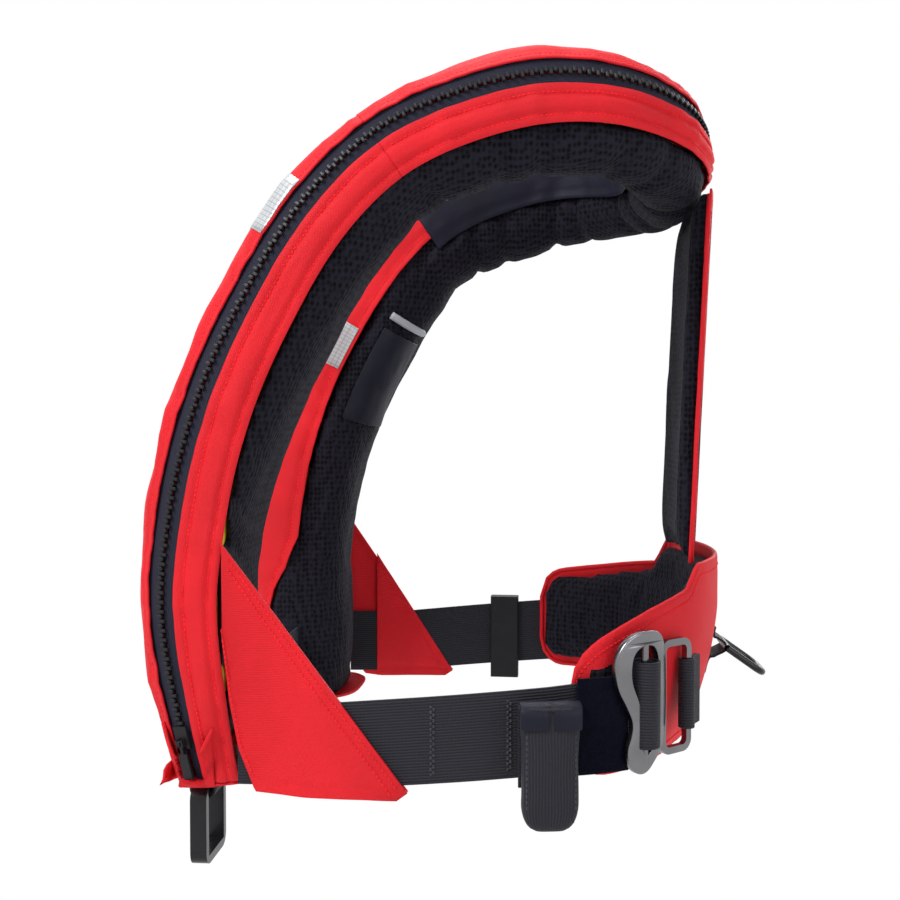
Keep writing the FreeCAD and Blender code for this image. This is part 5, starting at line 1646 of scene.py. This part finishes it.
class JACKET_OT_ring_tabs(bpy.types.Operator):
    """Webbing tabs that carry the front rings and the rear ring"""

    bl_idname = "jacket.ring_tabs"
    bl_label = "Ring tabs"

    def execute(self, context):
        cloth = finish_of("webbing")
        nodes = ["front_ring_tabs"]
        for side in ("left", "right"):
            low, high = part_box(side + "_front_ring")
            x, y = (low.x + high.x) / 2, (low.y + high.y) / 2
            axis = high.z - 0.0025
            r = 0.0068
            marks = [(y - r * 0.85, axis + 0.013), (y - r, axis + 0.004), (y - r * 0.95, axis - 0.003),
                     (y, axis - r), (y + r * 0.95, axis - 0.003), (y + r, axis + 0.004),
                     (y + r * 0.85, axis + 0.013)]
            curve = Spline(marks)
            path = []
            for t in np.linspace(0, len(marks) - 1, 40):
                py, pz = curve.value(t)
                path.append((x, py, pz))
            strap(side + "_ring_webbing", path, (1, 0, 0), 0.024, 0.0018, cloth, nodes,
                  (0, -1, -1), 9,
                  0.0, 0.0)
            nodes = []
        axis_y, axis_z, r = PAD_REACH + 0.00615, 0.026, 0.0034
        marks = [(PAD_REACH + 0.001, axis_z - 0.017), (PAD_REACH + 0.0012, axis_z - 0.008),
                 (axis_y - 0.001, axis_z - 0.0045), (axis_y + r, axis_z - 0.0005),
                 (axis_y - 0.001, axis_z + 0.0042),
                 (PAD_REACH + 0.0013, axis_z + 0.007), (PAD_REACH + 0.001, axis_z + 0.013)]
        curve = Spline(marks)
        path = []
        for t in np.linspace(0, len(marks) - 1, 50):
            py, pz = curve.value(t)
            path.append((0.0, py - lean_in(PAD_REACH, pz) * (1.0 if py < PAD_REACH + 0.002 else 0.6), pz))
        strap("rear_ring_webbing", path, (1, 0, 0), 0.024, 0.0014, cloth, ["rear_ring_tab"],
              (0, 1, 0), 9,
              0.0, 0.0)
        return {"FINISHED"}


class JACKET_OT_reflectors(bpy.types.Operator):
    """Silver reflective tape across each lobe"""

    bl_idname = "jacket.reflectors"
    bl_label = "Reflective tape"

    def execute(self, context):
        nodes = ["reflective_tapes"]
        for side, run in (("left", (66, 72)), ("right", (COUNT - 1 - 63, COUNT - 1 - 57))):
            grid, chosen = rim_grid(run, rim_angle(ZIP_FRONT + 0.02), 0.0, 44, -0.001, tuck=0.06)
            cover = bpy.data.objects[side + "_lobe_front"]
            flat = grid.reshape(-1, 3)
            outs = np.repeat([s.middle for s in chosen], grid.shape[1], axis=0)
            outs = flat - outs
            outs /= np.linalg.norm(outs, axis=1, keepdims=True)
            laid, _ = lay_on(flat, outs, [cover], 0.0006)
            grid = np.array(laid).reshape(grid.shape)
            i, j = grid.shape[0] // 2, grid.shape[1] // 2
            ob = grid_object(side + "_reflector", grid, grid[i, j] - chosen[i].middle)
            thicken(ob, 0.0004)
            place_piece(ob, finish_of("reflective"), "jacket", nodes)
            soft_sheet(grid)
            nodes = []
        return {"FINISHED"}


class JACKET_OT_zip_pockets(bpy.types.Operator):
    """Small open cups of cloth at the zip's ends"""

    bl_idname = "jacket.zip_pockets"
    bl_label = "Zip pockets"

    def execute(self, context):
        nodes = ["zip_pockets"]
        for side, index in (("left", 2), ("right", COUNT - 3)):
            s = SECTIONS[index]
            place = s.rim(rim_angle(ZIP_MIDDLE))
            tree = surface_tree(side + "_lobe_cover", side + "_side_strip", side + "_mesh_pad")
            sign = 1.0 if side == "left" else -1.0
            rows = []
            for b in np.linspace(0, 1, 18):
                row = []
                for a in np.linspace(-1, 1, 29):
                    y = place[1] + 0.016 * a
                    low, high = -LOBE_DROP - 0.0005, -LOBE_DROP + 0.010 + 0.024 * abs(a) ** 1.6
                    z = low + (high - low) * b
                    hit, _, _, _ = tree.ray_cast(Vector((0.3 * sign, y, max(z, -LOBE_DROP + 0.001))),
                                                 Vector((-sign, 0, 0)))
                    x = sign * hit.x if hit is not None else sign * place[0]
                    bulge = 0.0085 * (1 - abs(a) ** 2.4) * (0.25 + 0.75 * b ** 0.8) + 0.0008
                    row.append((sign * (x + bulge), y, z))
                rows.append(row)
            grid = np.array(rows)
            grid[:, :, 0] = blur(grid[:, :, 0], 2)
            ob = grid_object(side + "_zip_cup", grid, (sign, 0, 0))
            thicken(ob, 0.0014)
            place_piece(ob, finish_of("red nylon"), "jacket", nodes)
            soft_sheet(grid)
            nodes = []
            edge = tube(side + "_zip_cup_rim", grid[-1], 0.0012)
            place_piece(edge, finish_of("shaded red"), "jacket")
        return {"FINISHED"}


class JACKET_OT_inner_pocket(bpy.types.Operator):
    """A smooth pocket on the right lobe's mesh, with a pale binding"""

    bl_idname = "jacket.inner_pocket"
    bl_label = "Inner pocket"

    def execute(self, context):
        run = (COUNT - 1 - 65, COUNT - 1 - 50)
        start, stop = -math.radians(100), -math.radians(160)
        grid, chosen = rim_grid(run, start, stop, 18, -0.0022)
        grid = crumple(grid, 0.0008, 50.0, 2.0)
        i, j = grid.shape[0] // 2, grid.shape[1] // 2
        ob = grid_object("pocket_cloth", grid, grid[i, j] - chosen[i].middle)
        thicken(ob, 0.0014, 0.0004)
        place_piece(ob, finish_of("navy lining"), "jacket", ["pocket_panel"])
        soft_sheet(grid)
        top = SECTIONS[COUNT - 1 - 67]
        line = [top.rim(a, -0.0008) for a in np.linspace(start, stop, 24)]
        edge = tube("pocket_edge", line, 0.0028)
        place_piece(edge, finish_of("pale binding"), "jacket", ["pocket_binding"])
        return {"FINISHED"}


BUCKLE_OUTLINE = ((3, 40), (-6, 39), (-13, 34), (-17, 24), (-16, 11), (-10, 0), (-6, -9), (-7, -17),
                  (-10, -24),
                  (-9, -32), (-4, -37), (2, -37), (9, -31), (16, -26), (20, -17), (21, -5), (21, 10),
                  (20, 24),
                  (18, 33), (12, 39))
BUCKLE_HOLE = ((4, 34), (-4, 33), (-9, 27), (-9.5, 13), (-4, 2), (-0.5, -9), (-1, -19), (-2, -26), (2, -29.5),
               (7, -26), (13, -20), (15, -8), (15, 9), (14, 23), (10, 32))


class JACKET_OT_buckle(bpy.types.Operator):
    """The belt's curved hook plate in dark polished steel"""

    bl_idname = "jacket.buckle"
    bl_label = "Buckle plate"

    def execute(self, context):
        data = bpy.data.curves.new("hook_plate_outline", "CURVE")
        data.dimensions = "2D"
        data.fill_mode = "BOTH"
        data.extrude = 0.0011
        data.bevel_depth = 0.0011
        data.bevel_resolution = 3
        for marks in (BUCKLE_OUTLINE, BUCKLE_HOLE):
            spline = data.splines.new("NURBS")
            spline.points.add(len(marks) - 1)
            for point, (x, z) in zip(spline.points, marks):
                point.co = (x / 1000, z / 1000, 0, 1)
            spline.use_cyclic_u = True
            spline.order_u = 3
            spline.resolution_u = 6
        outline = bpy.data.objects.new("hook_plate_outline", data)
        context.scene.collection.objects.link(outline)
        only(outline)
        bpy.ops.object.convert(target="MESH")
        ob = bpy.context.object
        ob.name = "hook_plate"
        bpy.ops.mesh.primitive_cylinder_add(vertices=24, radius=0.0021, depth=0.066,
                                            location=(0.002, 0.0005, 0),
                                            rotation=(math.pi / 2, 0, 0))
        bar = bpy.context.object
        bpy.ops.object.transform_apply(location=True, rotation=True, scale=True)
        ob.select_set(True)
        bpy.context.view_layer.objects.active = ob
        bar.select_set(True)
        bpy.ops.object.join()
        origin, back, inward, up = buckle_place()
        for v in ob.data.vertices:
            x, z, y = v.co
            bow = -0.0045 * (x / 0.020 - 0.1) ** 2
            v.co = origin + back * x + inward * (-0.002 - y - bow) + up * z
        only(ob)
        bpy.ops.object.mode_set(mode="EDIT")
        bpy.ops.mesh.select_all(action="SELECT")
        bpy.ops.mesh.remove_doubles(threshold=0.00002)
        bpy.ops.mesh.normals_make_consistent(inside=False)
        bpy.ops.object.mode_set(mode="OBJECT")
        bpy.ops.object.shade_smooth_by_angle(angle=math.radians(40))
        place_piece(ob, finish_of("gunmetal"), "hook_plate", ["buckle_hook_plate"])
        return {"FINISHED"}


HARD_FINISHES = {
    "buckle_frame": "gunmetal",
    "left_front_ring": "black metal",
    "right_front_ring": "black metal",
    "rear_ring": "black metal",
    "right_belt_keeper": "black plastic",
    "zip_slider": "black plastic",
    "zip_pull": "black plastic",
    "gas_cylinder": "steel",
    "lever_pin": "steel",
    "inflator_head": "black plastic",
    "firing_lever": "black plastic",
    "oral_tube": "black plastic",
    "oral_tube_cap": "black plastic",
    "oral_valve_poppet": "signal",
    "service_indicator": "green",
    "firing_handle": "signal",
    "firing_lanyard": "dark thread",
    "whistle": "orange",
}


class JACKET_OT_hard_finishes(bpy.types.Operator):
    """Metal and plastic finishes on the fixed frame's own hard parts"""

    bl_idname = "jacket.hard_finishes"
    bl_label = "Metal and plastic"

    def execute(self, context):
        for node, finish in HARD_FINISHES.items():
            ob = frame["nodes"][node]
            material = finish_of(finish)
            if len(ob.material_slots) == 0:
                ob.data.materials.append(material)
            for slot in ob.material_slots:
                slot.material = material
        return {"FINISHED"}


class JACKET_OT_seams(bpy.types.Operator):
    """Rows of stitching along the covers' edges and on the collar"""

    bl_idname = "jacket.seams"
    bl_label = "Stitching"

    def row(self, name, run, share, over_front, pieces, thread="thread", slot="red_cloth", follow=False):
        low, high = run
        points, outs = [], []
        for index in range(low + 1, high, 3):
            s = SECTIONS[index]
            place = share + inner_edge(index) if follow else share
            angle = math.pi - rim_angle(place) if over_front else rim_angle(place)
            p = s.rim(angle)
            q = s.rim(angle, 0.002)
            points.append(p)
            outs.append(unit(p - q))
        stitch_line(name, points, outs, thread, [bpy.data.objects[n] for n in pieces])

    def execute(self, context):
        for side in ("left", "right", "collar"):
            front = side + "_front" if side == "collar" else side + "_lobe_front"
            self.row(side + "_front_hem", RUNS[side], ZIP_FRONT + 0.085, False, [front])
            self.row(side + "_strip_hem", RUNS[side], ZIP_REAR - 0.14, False, [side + "_strip"])
            self.row(side + "_strip_low_hem", RUNS[side], MESH_EDGE + 0.13, False, [side + "_strip"])
        for side in ("left", "right"):
            self.row(side + "_inner_hem", RUNS[side], 0.13, True, [side + "_lobe_front"], follow=True)
        for k, share in enumerate((0.42, 0.30)):
            self.row("lining_row_%d" % k, RUNS["collar"], share, True, ["collar_lining"], "dark thread",
                     "navy_cloth")
        return {"FINISHED"}


class JACKET_OT_stage(bpy.types.Operator):
    """Pale floor, soft lamps and the camera"""

    bl_idname = "jacket.stage"
    bl_label = "Stage"

    def execute(self, context):
        self.camera(context)
        self.floor()
        self.lamps(context)
        return {"FINISHED"}

    def camera(self, context):
        camera = bpy.data.objects.new("Camera", bpy.data.cameras.new("Camera"))
        context.scene.collection.objects.link(camera)
        camera.location = (0.775, 0.015, 0.177)
        look = Vector((-0.99612, -0.08294, -0.02937))
        camera.rotation_mode = "QUATERNION"
        camera.rotation_quaternion = look.to_track_quat("-Z", "Y")
        camera.data.lens = 46.12
        camera.data.sensor_width = 36.0
        camera.data.clip_start = 0.01
        context.scene.camera = camera

    def white_to_camera(self, tree, shader, output):
        """Plain white where the camera, a reflection or glass sees it, and the shader elsewhere."""
        path = tree.nodes.new("ShaderNodeLightPath")
        white = tree.nodes.new("ShaderNodeEmission")
        white.inputs["Strength"].default_value = 1.0
        seen = tree.nodes.new("ShaderNodeMath")
        seen.operation = "MAXIMUM"
        tree.links.new(path.outputs["Is Camera Ray"], seen.inputs[0])
        tree.links.new(path.outputs["Is Glossy Ray"], seen.inputs[1])
        either = tree.nodes.new("ShaderNodeMath")
        either.operation = "MAXIMUM"
        tree.links.new(seen.outputs[0], either.inputs[0])
        tree.links.new(path.outputs["Is Transmission Ray"], either.inputs[1])
        mix = tree.nodes.new("ShaderNodeMixShader")
        tree.links.new(either.outputs[0], mix.inputs["Fac"])
        tree.links.new(shader, mix.inputs[1])
        tree.links.new(white.outputs["Emission"], mix.inputs[2])
        tree.links.new(mix.outputs["Shader"], output)

    def floor(self):
        bpy.ops.object.select_all(action="DESELECT")
        bpy.ops.mesh.primitive_plane_add(size=8.0, location=(0, 0, CAD_BOUNDS[0][2] - 0.16))
        floor = bpy.context.object
        floor.name = "floor"
        material = bpy.data.materials.new("Pale floor")
        material.use_nodes = True
        tree = material.node_tree
        shader = tree.nodes["Principled BSDF"]
        shader.inputs["Base Color"].default_value = (0.9, 0.9, 0.9, 1)
        shader.inputs["Roughness"].default_value = 0.9
        self.white_to_camera(tree, shader.outputs["BSDF"], tree.nodes["Material Output"].inputs["Surface"])
        floor.data.materials.append(material)

    def lamps(self, context):
        world = bpy.data.worlds.new("World")
        context.scene.world = world
        world.use_nodes = True
        tree = world.node_tree
        back = tree.nodes["Background"]
        back.inputs["Color"].default_value = (0.93, 0.95, 1.0, 1)
        back.inputs["Strength"].default_value = 0.42
        self.white_to_camera(tree, back.outputs["Background"], tree.nodes["World Output"].inputs["Surface"])
        lamps = (("key", (1.1, -1.2, 1.5), 34.0, 0.8), ("fill", (1.5, 1.3, 0.7), 10.0, 1.2),
                 ("top", (-0.3, -0.2, 1.9), 20.0, 1.0), ("far", (-1.5, 0.7, 0.9), 12.0, 1.0))
        for name, place, power, size in lamps:
            data = bpy.data.lights.new(name, "AREA")
            data.energy = power
            data.size = size
            lamp = bpy.data.objects.new(name, data)
            lamp.location = place
            lamp.rotation_mode = "QUATERNION"
            lamp.rotation_quaternion = (Vector((0, 0, 0.15)) - Vector(place)).to_track_quat("-Z", "Y")
            context.scene.collection.objects.link(lamp)
        context.scene.view_settings.view_transform = "Standard"


PIECES = (
    JACKET_OT_stage, JACKET_OT_covers, JACKET_OT_side_strips, JACKET_OT_mesh_pads, JACKET_OT_bladder,
    JACKET_OT_neck_lining,
    JACKET_OT_zip, JACKET_OT_bottoms, JACKET_OT_side_panels, JACKET_OT_belts, JACKET_OT_back_pad,
    JACKET_OT_back_strap, JACKET_OT_pouch, JACKET_OT_ring_tabs, JACKET_OT_reflectors, JACKET_OT_zip_pockets,
    JACKET_OT_inner_pocket, JACKET_OT_buckle, JACKET_OT_seams, JACKET_OT_hard_finishes,
)


class JACKET_PT_panel(bpy.types.Panel):
    """Lists the jacket's settings and pieces"""

    bl_idname = "JACKET_PT_panel"
    bl_label = "Life Jacket"
    bl_space_type = "VIEW_3D"
    bl_region_type = "UI"
    bl_category = "Life Jacket"

    def draw(self, context):
        settings = context.scene.jacket
        for name in ("red", "navy", "black", "weave", "mesh_cell", "rib", "tooth_pitch", "stitch", "wrinkle"):
            self.layout.prop(settings, name)
        for piece in PIECES:
            self.layout.operator(piece.bl_idname)


CLASSES = (JacketSettings, *PIECES, JACKET_PT_panel)


def register():
    for cls in CLASSES:
        bpy.utils.register_class(cls)
    bpy.types.Scene.jacket = bpy.props.PointerProperty(type=JacketSettings)


def unregister():
    del bpy.types.Scene.jacket
    for cls in reversed(CLASSES):
        bpy.utils.unregister_class(cls)


def main():
    register()
    for piece in PIECES:
        group, name = piece.bl_idname.split(".")
        result = getattr(getattr(bpy.ops, group), name)()
        if result != {"FINISHED"}:
            raise RuntimeError(piece.bl_label + " wasn't made")


if __name__ == "__main__":
    main()
